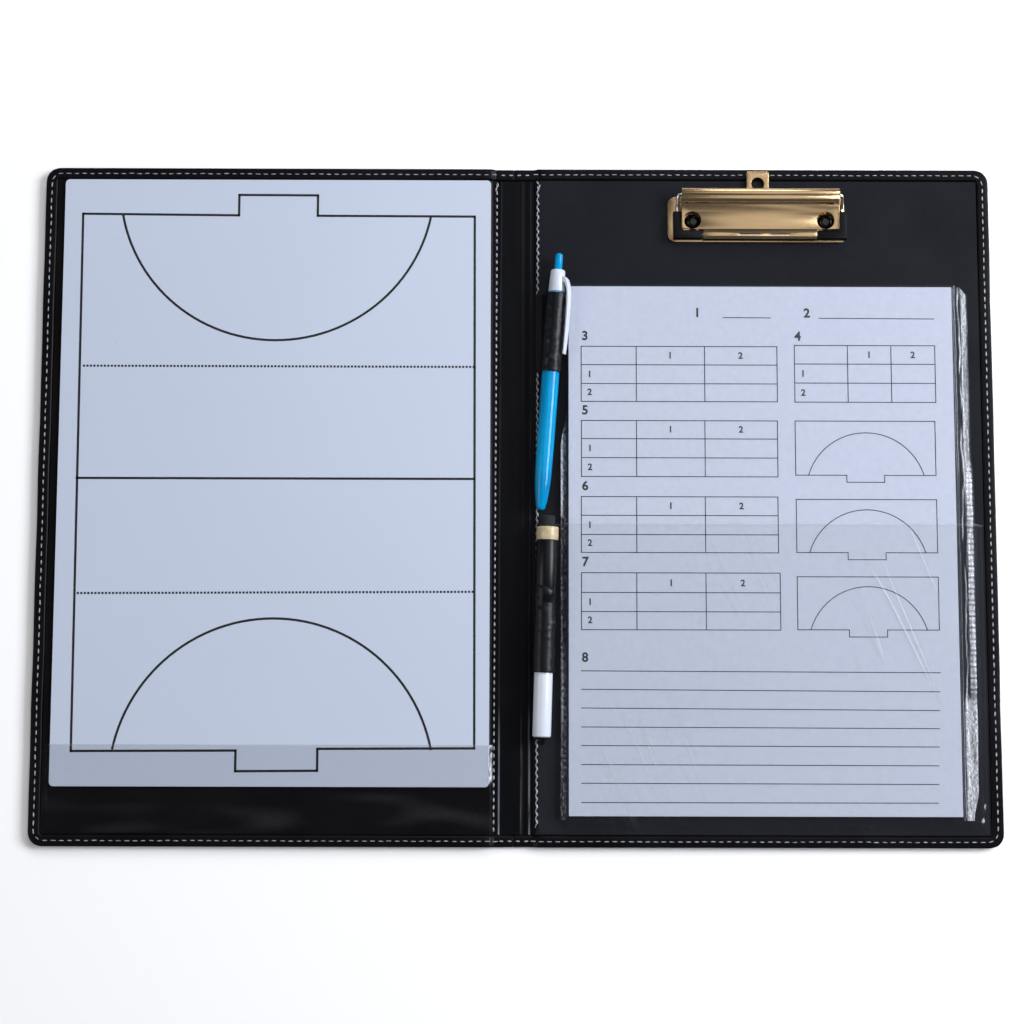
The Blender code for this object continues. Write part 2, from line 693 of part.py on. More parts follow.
def board_marker():
    """A dry-wipe marker: barrel, end plug and nib, with a cap that has a ring and a wiper."""
    axis = pivot("marker_axis", MARKER_FOOT, (-math.pi / 2, 0, -MARKER_LEAN))
    r = MARKER_RADIUS
    barrel = turned("marker_barrel", [
        (3.3 * MM, 76.5 * MM), (3.7 * MM, 76.5 * MM), (3.8 * MM, 75 * MM), (r, 73.6 * MM),
        (r, 0.6 * MM), (r - 0.5 * MM, 0), (3.4 * MM, 0), (3.4 * MM, 74 * MM)],
        white_plastic(), axis)
    plug = turned("marker_end_plug", [
        (0, 6 * MM), (3.1 * MM, 6 * MM), (3.1 * MM, -GAP), (3.5 * MM, -GAP), (3.2 * MM, -1.0 * MM),
        (1.6 * MM, -1.3 * MM), (1.35 * MM, -3.4 * MM), (1.0 * MM, -3.8 * MM), (0, -3.8 * MM)],
        black_plastic(), axis)
    nib = turned("marker_nib", [
        (0, 95 * MM), (0.9 * MM, 94.8 * MM), (1.9 * MM, 93.6 * MM), (2.3 * MM, 91.5 * MM),
        (2.3 * MM, 86 * MM), (2.9 * MM, 85.6 * MM), (3.2 * MM, 77.1 * MM), (3.0 * MM, 76.8 * MM),
        (3.0 * MM, 66 * MM), (0, 66 * MM)], material("nib_felt", "1B1B1D", 0.95), axis)
    outer = MARKER_CAP_RADIUS
    low, high = MARKER_RING_SPAN
    cap = turned("marker_cap", [
        (0, high), (4.5 * MM, high), (4.9 * MM, high - 0.4 * MM), (4.9 * MM, low - GAP), (outer, low - GAP),
        (outer, MARKER_CAP_RIM + 0.5 * MM), (outer - 0.3 * MM, MARKER_CAP_RIM),
        (4.78 * MM, MARKER_CAP_RIM), (4.78 * MM, 75 * MM), (4.2 * MM, 76.5 * MM),
        (4.2 * MM, 97.5 * MM), (0, 97.5 * MM)], black_plastic(), axis)
    ring = turned("marker_ring", [
        (5.2 * MM, high), (outer, high - 0.5 * MM), (outer, low + 0.4 * MM), (5.2 * MM, low),
        (5.05 * MM, low), (5.05 * MM, high)], white_plastic(), axis)
    wiper = turned("marker_wiper", [
        (0, MARKER_LENGTH), (3.0 * MM, MARKER_LENGTH), (3.5 * MM, MARKER_LENGTH - 0.6 * MM),
        (3.5 * MM, high + GAP), (0, high + GAP)], material("black_felt", "1C1D20", 0.95), axis)
    return barrel, plug, nib, cap, ring, wiper


# Clip

def flap_section():
    """The flap's sheet from its thumb lip at the back, over the ridge, to the jaw's lip."""
    return [(153.7, 9.4), (153.9, 11.3), (153.2, 12.4), (151.9, 12.7), (150.7, 12.4), (150.0, 12.0),
            (149.3, 12.3), (148.4, 12.1), (147.6, 11.2), (147.1, 10.0), (146.4, 9.7),
            (134.6, 9.1), (133.9, 8.7), (133.2, 8.35), (132.0, 8.2), (131.0, 8.35), (130.3, 7.9),
            (129.9, 6.9), (129.8, 5.5)]


def clip_flap():
    """The sprung flap, pressed from one sheet, with a ridge to press on and a jaw in front."""
    section = [(y * MM, z * MM) for y, z in flap_section()]
    mesh = bpy.data.meshes.new("clip_flap")
    form = bmesh.new()
    row = [form.verts.new((CLIP_X - FLAP_HALF_WIDTH, y, z)) for y, z in section]
    edges = [form.edges.new(pair) for pair in zip(row, row[1:])]
    made = bmesh.ops.extrude_edge_only(form, edges=edges)["geom"]
    moved = [v for v in made if isinstance(v, bmesh.types.BMVert)]
    bmesh.ops.translate(form, vec=(2 * FLAP_HALF_WIDTH, 0, 0), verts=moved)
    bmesh.ops.recalc_face_normals(form, faces=form.faces)
    form.to_mesh(mesh)
    form.free()
    flap = thicken(link("clip_flap", mesh, gold_steel()), CLIP_SHEET)
    for side in (-1, 1):
        name = "right" if side > 0 else "left"
        boolean(flap, block("flap_corner_" + name, span_x(side, JAW_HALF_WIDTH, 50 * MM),
                            (120 * MM, 134.3 * MM), (0, 20 * MM), None))
        boolean(flap, block("flap_slit_" + name, span_x(side, 26 * MM, 36.6 * MM),
                            (146.6 * MM, 147.7 * MM), (8.6 * MM, 11.4 * MM), None))
        boolean(flap, cylinder("flap_access_" + name, (CLIP_X + side * RIVET_X, RIVET_Y, 9 * MM),
                               ACCESS_HOLE_RADIUS, 6 * MM, "Z", steps=32))
        boolean(flap, cheek(side, name), "UNION")
    boolean(flap, block("jaw_slot_left", (CLIP_X - 10.4 * MM, CLIP_X - 0.2 * MM),
                        (131.4 * MM, 132.5 * MM), (7.4 * MM, 10 * MM), None, 0.4 * MM, 2))
    boolean(flap, block("jaw_slot_right", (CLIP_X + 4.9 * MM, CLIP_X + 13.4 * MM),
                        (131.4 * MM, 132.5 * MM), (7.4 * MM, 10 * MM), None, 0.4 * MM, 2))
    return flap


def span_x(side, near, far):
    """Limits along X, from two distances out from the clip's middle."""
    return tuple(sorted((CLIP_X + side * near, CLIP_X + side * far)))


def cheek(side, name):
    """A cheek bent down at one end of the flap's ridge, bored for the pin and the wire's end."""
    outline = [(147.3, 7.6), (148.0, 6.7), (149.2, 6.3), (150.6, 6.7), (152.8, 9.4), (153.3, 11.2),
               (152.9, 12.2), (151.9, 12.6), (150.0, 11.9), (148.4, 12.0), (147.6, 11.0), (147.2, 9.8)]
    near, far = span_x(side, CHEEK_X, CHEEK_X + CLIP_SHEET)
    mesh = bpy.data.meshes.new("cheek_" + name)
    form = bmesh.new()
    face = form.faces.new([form.verts.new((near, y * MM, z * MM)) for y, z in outline])
    made = bmesh.ops.extrude_face_region(form, geom=[face])["geom"]
    moved = [v for v in made if isinstance(v, bmesh.types.BMVert)]
    bmesh.ops.translate(form, vec=(far - near, 0, 0), verts=moved)
    bmesh.ops.recalc_face_normals(form, faces=form.faces)
    form.to_mesh(mesh)
    form.free()
    plate = link("cheek_" + name, mesh, gold_steel())
    x = (near + far) / 2
    boolean(plate, cylinder("cheek_bore_" + name, (x, PIVOT_Y, PIVOT_Z), PIN_HOLE_RADIUS,
                            4 * MM, "X"))
    boolean(plate, cylinder("cheek_wire_hole_" + name, (x, 151.2 * MM, 10.4 * MM), 1.2 * MM,
                            4 * MM, "X", steps=16))
    return plate


def base_plate():
    """The clip's base, riveted to the cover, with an ear for the pin at each end."""
    base = block("clip_base_plate", (CLIP_X - BASE_HALF_WIDTH, CLIP_X + BASE_HALF_WIDTH), BASE_Y,
                 (BASE_Z, BASE_TOP_Z), gold_steel(), 4 * MM)
    for side in (-1, 1):
        name = "right" if side > 0 else "left"
        x = span_x(side, BASE_EAR_X, BASE_EAR_X + CLIP_SHEET)
        ear = block("base_ear_" + name, x, (PIVOT_Y - 2.1 * MM, PIVOT_Y + 2.1 * MM),
                    (BASE_Z + 0.2 * MM, PIVOT_Z), gold_steel())
        boolean(ear, cylinder("base_ear_top_" + name, (sum(x) / 2, PIVOT_Y, PIVOT_Z), 2.1 * MM,
                              CLIP_SHEET, "X"), "UNION")
        boolean(ear, cylinder("base_ear_bore_" + name, (sum(x) / 2, PIVOT_Y, PIVOT_Z),
                              PIN_HOLE_RADIUS, 4 * MM, "X"))
        boolean(base, ear, "UNION")
        boolean(base, hanger_guide(side, name), "UNION")
        boolean(base, cylinder("base_rivet_hole_" + name, (CLIP_X + side * RIVET_X, RIVET_Y, 4 * MM),
                               2.1 * MM, 4 * MM, "Z"))
    return base


def hanger_guide(side, name):
    """A lug bent up and over the edge of the hanger's tongue."""
    def out(near, far):
        return tuple(sorted((HANGER_X + side * near, HANGER_X + side * far)))

    y = (150.3 * MM, 151.5 * MM)
    post = block("guide_post_" + name, out(4.35 * MM, 5.15 * MM), y,
                 (BASE_Z + 0.2 * MM, HANGER_Z + CLIP_SHEET + 0.95 * MM), gold_steel())
    lip = block("guide_lip_" + name, out(3.0 * MM, 5.0 * MM), y,
                (HANGER_Z + CLIP_SHEET + GAP, HANGER_Z + CLIP_SHEET + 0.95 * MM), gold_steel())
    return boolean(post, lip, "UNION")


def hanger():
    """The slide-out hanger: an eye, a narrow tongue and a foot that stops it in its guide."""
    z = (HANGER_Z, HANGER_Z + CLIP_SHEET)

    def out(half):
        return (HANGER_X - half, HANGER_X + half)

    plate = block("clip_hanger", out(5.5 * MM), (153.4 * MM, 164.4 * MM), z, gold_steel(), 0.8 * MM, 2)
    boolean(plate, block("hanger_tongue", out(4.0 * MM), (136 * MM, 155 * MM), z, gold_steel()),
            "UNION")
    boolean(plate, block("hanger_foot", out(5.5 * MM), (135.5 * MM, 138 * MM), z, gold_steel()),
            "UNION")
    boolean(plate, cylinder("hanger_eye", (HANGER_X, HANGER_HOLE_Y, HANGER_Z), HANGER_HOLE_RADIUS,
                            4 * MM, "Z", steps=32))
    return plate


def rivet(side):
    """A domed rivet: head on the base plate, tail spread in the back of the grey board."""
    head = BASE_TOP_Z + GAP
    shank = 1.8 * MM
    item = turned("clip_rivet_" + ("right" if side > 0 else "left"), [
        (0, head + 1.7 * MM), (1.5 * MM, head + 1.55 * MM), (2.6 * MM, head + 1.1 * MM),
        (3.3 * MM, head + 0.4 * MM), (3.4 * MM, head), (shank, head), (shank, STIFFENER_Z + 0.6 * MM),
        (3.3 * MM, STIFFENER_Z + 0.6 * MM), (3.3 * MM, STIFFENER_Z + 0.1 * MM), (0, STIFFENER_Z + 0.1 * MM)],
        material("black_rivet", "1A1A1C", 0.25, 1.0))
    item.location = (CLIP_X + side * RIVET_X, RIVET_Y, 0)
    return item


def frame_points():
    """The wire frame's route on the right, from inside the cheek to the middle of the jaw."""
    bend = 2.2 * MM
    points = [(36.8 * MM, 151.2 * MM, 10.4 * MM), (38.9 * MM, 151.2 * MM, 10.4 * MM),
              (39.9 * MM, 150.8 * MM, 10.2 * MM), (FRAME_X, 149.8 * MM, 9.6 * MM),
              (FRAME_X, 146.2 * MM, 7.3 * MM), (FRAME_X, 144.6 * MM, FRAME_Z)]
    for i in range(5):
        angle = math.pi / 2 * i / 4
        points.append((FRAME_X - bend + bend * math.cos(angle),
                       FRAME_Y + bend - bend * math.sin(angle), FRAME_Z))
    return points


def wire_frame():
    """The spring-steel wire round the flap and its two corner caps."""
    places = [(CLIP_X + x, y, z) for x, y, z in mirrored(frame_points())]
    frame = wire("clip_wire_frame", places, FRAME_WIRE_RADIUS, bright_steel())
    caps = []
    for side in (-1, 1):
        name = "right" if side > 0 else "left"
        z = (FRAME_Z - 1.9 * MM, FRAME_Z + 2.0 * MM)
        cap = block("clip_cap_" + name, span_x(side, FRAME_X - 2.2 * MM + 0.3 * MM, FRAME_X + 2.3 * MM),
                    (FRAME_Y - 2.1 * MM, 143.3 * MM), z, black_rubber())
        foot = block("cap_foot_" + name, span_x(side, 28.3 * MM, FRAME_X),
                     (FRAME_Y - 2.1 * MM, FRAME_Y + 2.05 * MM), z, black_rubber())
        boolean(cap, foot, "UNION")
        boolean(cap, wire("cap_bore_" + name, places, FRAME_WIRE_RADIUS + GAP, None))
        caps.append(cap)
    return frame, caps


def torsion_spring(side):
    """A coil on the pin with one leg under the flap's ridge and one along the base."""
    name = "clip_spring_" + ("right" if side > 0 else "left")
    radius = 1.75 * MM
    wire_radius = 0.35 * MM
    turns = 4
    steps = 10
    pitch = 1.25 * MM
    start = 14 * MM
    first = math.radians(250)
    points = [(start, 139.5 * MM, 6.1 * MM), (start, 146.0 * MM, 6.35 * MM)]
    for i in range(turns * steps + 1):
        angle = first + 2 * math.pi * i / steps
        points.append((start + pitch * i / steps, PIVOT_Y + radius * math.cos(angle),
                       PIVOT_Z + radius * math.sin(angle)))
    points += [(start + pitch * turns, 151.6 * MM, 7.6 * MM), (start + pitch * turns, 152.6 * MM, 9.4 * MM)]
    print(name, "least gap between turns, mm:", least_gap(points, wire_radius, steps))
    return wire(name, [(CLIP_X + side * x, y, z) for x, y, z in points], wire_radius,
                bright_steel(), 1)


def spring_clip():
    """The whole clip. What turns hangs on the pin's axis."""
    base = base_plate()
    for side in (-1, 1):
        rivet(side)
    cylinder("clip_hinge_pin", (CLIP_X, PIVOT_Y, PIVOT_Z), PIN_RADIUS, 2 * 38.4 * MM, "X",
             bright_steel())
    hang_on(pivot("hanger_slide_axis", (HANGER_X, HANGER_HOLE_Y, HANGER_Z)), hanger())
    frame, caps = wire_frame()
    axis = pivot("clip_axis", (CLIP_X, PIVOT_Y, PIVOT_Z))
    hang_on(axis, clip_flap(), frame, *caps, torsion_spring(-1), torsion_spring(1))
    return base


def build():
    """Make the folder, with each moving group parented to its joint's empty."""
    clear_scene()
    back_cover()
    upper_loop("pen_loop_upper", PEN_NOSE, PEN_LEAN, PEN_RADIUS, PEN_LOOP_SPAN)
    lower_loop("pen_loop_lower", MARKER_FOOT, MARKER_LEAN, MARKER_CAP_RADIUS, MARKER_LOOP_SPAN)
    spring_clip()
    hang_on(pivot("back_crease_axis", (BACK_CREASE_X, 0, CREASE_Z)), *spine())
    front_axis = pivot("front_crease_axis", (FRONT_CREASE_X, 0, CREASE_Z))
    hang_on(front_axis, *front_cover())
    hang_on(pivot("whiteboard_axis", (BOARD_LEFT_X + BOARD_SIZE[0] / 2, 0, BOARD_Z)), board())
    hang_on(pivot("pad_axis", (sum(PAD_X) / 2, 0, CARD_Z)), *score_pad())
    ballpoint_pen()
    board_marker()
    for item in PARTS.objects:
        if item.type == "MESH" and not item.modifiers.get("turn"):
            smooth(item, 30)


build()
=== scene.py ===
# %% [markdown]
# # A coach's tactics folder, lying open
#
# The object is a soft folder in black imitation leather. Its left cover holds a wipe-clean A4 board
# in a clear pocket. Its right cover holds a low spring clip, a pad of score sheets in a crackly bag,
# and two pens in loops. The imported CAD model fixes every size and joint. This script dresses it:
# leather cut across the creases, thread, print, films, plated steel and glossy plastics.

import math
import random

import bmesh
import bpy
from mathutils import Matrix, Vector, noise


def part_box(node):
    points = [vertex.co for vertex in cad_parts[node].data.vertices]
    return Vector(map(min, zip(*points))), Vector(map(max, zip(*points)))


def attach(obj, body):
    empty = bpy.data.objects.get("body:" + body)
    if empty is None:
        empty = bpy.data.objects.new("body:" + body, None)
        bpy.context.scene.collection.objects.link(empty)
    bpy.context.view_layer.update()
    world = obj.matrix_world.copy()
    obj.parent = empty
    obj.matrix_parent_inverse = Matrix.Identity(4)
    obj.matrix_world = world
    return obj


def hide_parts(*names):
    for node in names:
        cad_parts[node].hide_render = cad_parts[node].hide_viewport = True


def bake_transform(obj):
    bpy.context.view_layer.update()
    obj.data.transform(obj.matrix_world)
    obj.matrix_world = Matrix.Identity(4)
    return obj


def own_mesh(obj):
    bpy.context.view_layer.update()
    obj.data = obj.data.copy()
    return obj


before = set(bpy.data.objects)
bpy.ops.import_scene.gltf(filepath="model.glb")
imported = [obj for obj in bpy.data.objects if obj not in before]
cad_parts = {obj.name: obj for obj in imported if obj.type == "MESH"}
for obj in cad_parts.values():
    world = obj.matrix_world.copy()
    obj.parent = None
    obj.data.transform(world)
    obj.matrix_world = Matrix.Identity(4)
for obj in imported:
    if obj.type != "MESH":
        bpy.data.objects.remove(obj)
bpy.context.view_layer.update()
MM = 0.001

# %% [markdown]
# ## Working by hand, in code
#
# An operator works on whatever is selected, so each step first clears the selection. These few
# helpers do what a hand does in the viewport: choose one piece, open it in edit mode, pick faces by
# where they lie, and apply what a modifier shows.

# %% Selection, edit mode and modifiers
def choose_only(piece):
    """Select one piece and make it the active one."""
    bpy.ops.object.select_all(action="DESELECT")
    piece.select_set(True)
    bpy.context.view_layer.objects.active = piece


def pick(piece, wanted, kind="FACE"):
    """Enter edit mode with the faces, edges or vertices selected for which wanted(item) is true."""
    choose_only(piece)
    bpy.ops.object.mode_set(mode="EDIT")
    bpy.ops.mesh.select_mode(type=kind)
    bpy.ops.mesh.select_all(action="DESELECT")
    form = bmesh.from_edit_mesh(piece.data)
    for item in {"FACE": form.faces, "EDGE": form.edges, "VERT": form.verts}[kind]:
        item.select = bool(wanted(item))
    form.select_flush_mode()
    bmesh.update_edit_mesh(piece.data)


def leave_edit():
    bpy.ops.object.mode_set(mode="OBJECT")


def apply_place(piece):
    """Put the piece's place, turn and size into its mesh."""
    choose_only(piece)
    bpy.ops.object.transform_apply(location=True, rotation=True, scale=True)


def apply_modifiers(piece):
    choose_only(piece)
    for modifier in list(piece.modifiers):
        bpy.ops.object.modifier_apply(modifier=modifier.name)


def named(name):
    """Name the piece that an operator has just added."""
    piece = bpy.context.active_object
    piece.name = name
    piece.data.name = name
    return piece


def slab(name, x, y, z):
    """A cube primitive, sized in millimetres to its limits along each axis."""
    bpy.ops.object.select_all(action="DESELECT")
    middle = [sum(limits) / 2 * MM for limits in (x, y, z)]
    bpy.ops.mesh.primitive_cube_add(size=1, location=middle)
    piece = named(name)
    piece.scale = [(limits[1] - limits[0]) * MM for limits in (x, y, z)]
    apply_place(piece)
    return piece


def cut_across(piece, places, axis):
    """Add a line of edges across a piece at each place, given in millimetres along an axis."""
    normal = [float(axis == name) for name in "XYZ"]
    for place in places:
        pick(piece, lambda face: True)
        point = [value * place * MM for value in normal]
        bpy.ops.mesh.bisect(plane_co=point, plane_no=normal)
        leave_edit()


def shape(piece, mover):
    """Move every vertex to where mover(x, y, z) sends it, in millimetres."""
    for vertex in piece.data.vertices:
        x, y, z = vertex.co / MM
        vertex.co = Vector(mover(x, y, z)) * MM
    piece.data.update()


def round_edges(piece, radius, segments=2, angle=30):
    """Round the edges that turn by more than an angle. The radius is in millimetres."""
    rounding = piece.modifiers.new("rounded_edges", "BEVEL")
    rounding.width, rounding.segments = radius * MM, segments
    rounding.limit_method, rounding.angle_limit = "ANGLE", math.radians(angle)


def turn_outwards(piece):
    pick(piece, lambda face: True)
    bpy.ops.mesh.normals_make_consistent(inside=False)
    leave_edit()


def finish_piece(piece, body, surface, angle=40, stands_for=()):
    """Apply the modifiers, smooth the shading, give the finish and let the piece ride on its body."""
    apply_modifiers(piece)
    choose_only(piece)
    bpy.ops.object.shade_smooth_by_angle(angle=math.radians(angle))
    piece.data.materials.clear()
    piece.data.materials.append(surface)
    if body:
        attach(piece, body)
    if stands_for:
        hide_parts(*stands_for)


def step(low, high, value):
    """0 below low, 1 above high, and smooth between them."""
    t = min(1, max(0, (value - low) / (high - low)))
    return t * t * (3 - 2 * t)


def peak(value, middle, width):
    """1 at the middle, falling to nothing a few widths away on both sides."""
    return math.exp(-((value - middle) / width) ** 2)


def waver(x, y, seed):
    """Smooth noise, within about 1 of nothing. Each seed gives another pattern."""
    return noise.noise(Vector((x, y, seed)))


def paint(piece, value, name="crease"):
    """Store value(x, y, z) on each vertex, from 0 to 1, as the attribute that a finish can read."""
    layer = piece.data.attributes.new(name, "FLOAT", "POINT")
    for vertex, item in zip(piece.data.vertices, layer.data):
        item.value = min(1, max(0, value(*(vertex.co / MM))))


# %% [markdown]
# ## Colours and nodes
#
# A colour is picked as an sRGB hex value, and a shader wants linear light, so one function turns it.
# A second adds a node with its settings, its ramp stops and its links. Patterns read Object
# coordinates in metres, so a scale of 1000 divided by a size in millimetres gives that size.

# %% Colour and node helpers
def hex_colour(code):
    """An sRGB hex colour as linear RGBA."""
    values = [int(code[i:i + 2], 16) / 255 for i in (0, 2, 4)]
    return (*[v / 12.92 if v <= 0.04045 else ((v + 0.055) / 1.055) ** 2.4 for v in values], 1.0)


def add_node(tree, kind, settings=None, stops=(), **inputs):
    """Add a shader node. An input is given by name, or as i and its number, and linked or set."""
    node = tree.nodes.new("ShaderNode" + kind)
    for key, value in (settings or {}).items():
        setattr(node, key, value)
    if stops:
        elements = node.color_ramp.elements
        elements[0].position, elements[-1].position = stops[0][0], stops[-1][0]
        elements[0].color, elements[-1].color = hex_colour(stops[0][1]), hex_colour(stops[-1][1])
        for position, code in stops[1:-1]:
            elements.new(position).color = hex_colour(code)
    for key, value in inputs.items():
        numbered = key[0] == "i" and key[1:].isdigit()
        socket = node.inputs[int(key[1:]) if numbered else key.replace("_", " ")]
        if isinstance(value, bpy.types.NodeSocket):
            tree.links.new(value, socket)
        else:
            socket.default_value = value
    return node


def new_finish(name, **settings):
    """A material: its node tree, its Principled shader and the coordinates patterns start from."""
    finish = bpy.data.materials.new(name)
    finish.use_nodes = True
    tree = finish.node_tree
    shader = tree.nodes["Principled BSDF"]
    for key, value in settings.items():
        shader.inputs[key.replace("_", " ")].default_value = value
    return finish, tree, shader, add_node(tree, "TexCoord").outputs["Object"]


def feed(tree, shader, **outputs):
    """Link node outputs to the shader's inputs by name."""
    for key, output in outputs.items():
        tree.links.new(output, shader.inputs[key.replace("_", " ")])


# %% [markdown]
# ## The imitation leather
#
# The covers are PU leather: a black plastic skin, embossed from a roller with a fine pebble and glued
# to cloth. It reads as near black with a soft, slightly blue sheen. The pebbles are under a
# millimetre wide. Voronoi cells with soft valleys give them, and a broad noise varies the gloss where
# hands have polished it. The lining of the right cover catches more light in the photograph, so it
# gets its own slightly lighter mix. Where the skin folds again and again, its top coat turns pale and
# the fold ridges catch the light. Both are painted into the colour as pale grey lines, so each line
# is wear and a painted highlight together. A piece that has such folds stores them as an attribute,
# and the colour follows it.

# %% Leather finishes. A pebble of the embossing is 0.9 mm wide
PEBBLE = 0.9


def leather(name, dark, light, roughness, shine):
    """Embossed PU leather. The shine is how strongly it mirrors, and the roughness how softly."""
    finish, tree, shader, place = new_finish(name, Specular_IOR_Level=shine)
    grain = add_node(tree, "TexVoronoi", {"feature": "SMOOTH_F1"}, Vector=place,
                     Scale=1000 / PEBBLE, Smoothness=0.35)
    broad = add_node(tree, "TexNoise", Vector=place, Scale=1000 / 55, Detail=4, Roughness=0.6)
    fine = add_node(tree, "TexNoise", Vector=place, Scale=1000 / 2.4, Detail=3, Roughness=0.6)
    share = add_node(tree, "MapRange", Value=broad.outputs["Fac"], From_Min=0.3, From_Max=0.7,
                     To_Min=0.0, To_Max=0.55)
    tint = add_node(tree, "Math", {"operation": "MULTIPLY_ADD"}, i0=fine.outputs["Fac"], i1=0.45,
                    i2=share.outputs[0])
    skin = add_node(tree, "ValToRGB", stops=[(0.15, dark), (0.85, light)], Fac=tint.outputs[0])
    # Along the crease attribute the colour is painted pale grey: wear of the folds, and a painted
    # highlight where their ridges catch the light.
    crease = add_node(tree, "Attribute", {"attribute_name": "crease"})
    colour = add_node(tree, "Mix", {"data_type": "RGBA"}, i0=crease.outputs["Fac"],
                      i6=skin.outputs["Color"], i7=hex_colour("8A8C98"))
    gloss = add_node(tree, "MapRange", Value=broad.outputs["Fac"], From_Min=0.3, From_Max=0.7,
                     To_Min=roughness - 0.06, To_Max=roughness + 0.06)
    pebbles = add_node(tree, "Bump", Strength=0.3, Distance=0.06 * MM,
                       Height=grain.outputs["Distance"])
    waves = add_node(tree, "Bump", Strength=0.25, Distance=0.5 * MM, Height=broad.outputs["Fac"],
                     Normal=pebbles.outputs["Normal"])
    feed(tree, shader, Base_Color=colour.outputs[2], Roughness=gloss.outputs[0],
         Normal=waves.outputs["Normal"])
    return finish


cover_leather = leather("pu_leather_cover", "060607", "0E0E12", 0.34, 0.1)
front_lining_leather = leather("pu_leather_front_lining", "070607", "0F0E10", 0.36, 0.09)
back_lining_leather = leather("pu_leather_back_lining", "121419", "181B21", 0.38, 0.1)
spine_leather = leather("pu_leather_spine", "060608", "0D0E12", 0.34, 0.08)
loop_leather = leather("pu_leather_loops", "06070A", "0E1016", 0.35, 0.2)
print("Leather finishes:", [made.name for made in bpy.data.materials if "pu_" in made.name])

# %% [markdown]
# ## The outer skin
#
# One sheet wraps both covers and the spine, rounds their edges and is turned in as a hem that is
# sewn down. It has to bend at two creases, so it is made in two halves that meet in the middle of
# the spine. Each half starts as a block with its outer corners bevelled. The top face is inset by
# the hem's width and sunk, which leaves the hem standing. A bisect trims the half at the middle of
# the spine, and more cuts across the crease give it lines to bend on.

# %% Sizes of the covers, in millimetres
EDGE_X, EDGE_Y = 233.0, 166.0
HEM, CORNER = 5.2, 7.0
SPINE_MIDDLE = -1.4
SIGN = {"front": -1, "back": 1}
CREASES = {"front": -9.6, "back": 6.8}
RAMPS = {"front": (-10.6, -12.6), "back": (8.3, 10.3)}
LOW_TOP, FULL_TOP = 1.9, 3.4


def rise(side, x):
    """0 over the thin spine, 1 over the stiff cover."""
    start, end = RAMPS[side]
    return step(0, 1, (x - start) / (end - start))


# %% One half of the skin and its wavering, sunk form
def outer_half(side):
    sign = SIGN[side]
    x = sorted((SPINE_MIDDLE - sign * 9, sign * EDGE_X))
    skin = slab(side + "_cover_leather", x, (-EDGE_Y, EDGE_Y), (0, FULL_TOP))
    pick(skin, lambda edge: abs(edge.verts[0].co.z - edge.verts[1].co.z) > MM and
         abs(edge.verts[0].co.x - sign * EDGE_X * MM) < MM, "EDGE")
    bpy.ops.mesh.bevel(offset=CORNER * MM, segments=8, affect="EDGES")
    leave_edit()
    pick(skin, lambda face: face.normal.z > 0.9)
    bpy.ops.mesh.inset(thickness=HEM * MM, depth=0)
    bpy.ops.mesh.inset(thickness=0.7 * MM, depth=-1.0 * MM)
    leave_edit()
    pick(skin, lambda face: True)
    bpy.ops.mesh.bisect(plane_co=(SPINE_MIDDLE * MM, 0, 0), plane_no=(sign, 0, 0), clear_inner=True,
                        use_fill=True)
    leave_edit()
    crease = CREASES[side]
    start, end = RAMPS[side]
    near = [SPINE_MIDDLE + sign * d for d in (2, 4)]
    bends = [crease + sign * d for d in (-2.4, -1.8, -1.2, -0.6, 0, 0.6, 1.0)]
    cut_across(skin, near + bends + [start, (start + end) / 2, end, end + sign * 4], "X")
    cut_across(skin, range(-150, 151, 10), "Y")
    return skin


def hem_wave(x, y):
    """The cut edge of a sewn hem is never quite straight: up to about 0.25 mm in and out."""
    return 0.3 * waver(x * 0.035, y * 0.035, 4.0)


def wrap_cover(side, x, y, z):
    """Keep the wavering edge just inside the solid's outline, and sink the skin over the spine."""
    out = SIGN[side] * (hem_wave(x, y) - 0.18) * (abs(x) > EDGE_X - CORNER)
    back = math.copysign(0.16 + 0.5 * hem_wave(x + 50, y), y) * (abs(y) > EDGE_Y - 1)
    sunk = (FULL_TOP - LOW_TOP) * (1 - rise(side, x)) * min(1, z / 2.3)
    return x + out, y - back, z if z < 0.5 else z - sunk


def bend_at_crease(piece, side):
    """Put the piece's placing into its mesh. The crease between the spine and its cover spans 2.1 mm,
    but nothing here bends the piece there.
    """
    if side == "front":
        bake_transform(piece)
    else:
        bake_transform(piece)


# %% Both halves of the skin
for side in SIGN:
    skin = outer_half(side)
    shape(skin, lambda x, y, z: wrap_cover(side, x, y, z))
    round_edges(skin, 0.9, 3, 50)
    finish_piece(skin, None, cover_leather,
                 stands_for=(side + "_outer_skin", "spine_outer_skin"))
    bend_at_crease(skin, side)
    print(skin.name, len(skin.data.polygons), "faces")

# %% [markdown]
# ## The lining
#
# The inner skin is one more sheet over the grey board. It ends in the groove beside the hem. Over
# the spine it is loose: it dips between the covers and keeps the folds of years of opening. A grid
# follows that section, with columns close together where the form changes, and a Solidify wall gives
# it its thickness.

# %% The lining's form. Each fold has a place, a width and a height, in millimetres
FOLDS = [(6.5, 0.40, 0.30), (2.4, 0.45, 0.20), (-8.2, 0.36, 0.26)]
# How pale each fold is painted, always and more near the foot: wear, and a painted highlight of the
# light on the fold's ridge.
PALE = {6.5: (0.08, 0.75), 2.4: (0.02, 0.2), -8.2: (0.1, 0.9)}
LINING_X, LINING_Y, LINING_WALL = EDGE_X - HEM - 1.0, EDGE_Y - HEM - 0.9, 0.5


def fold_place(middle, y):
    """Where a fold lies at y: it wanders by a quarter of a millimetre."""
    return middle + 0.2 * math.sin(y / 55 + middle) + (0.3 if middle < 0 else 0.1) * y / 160


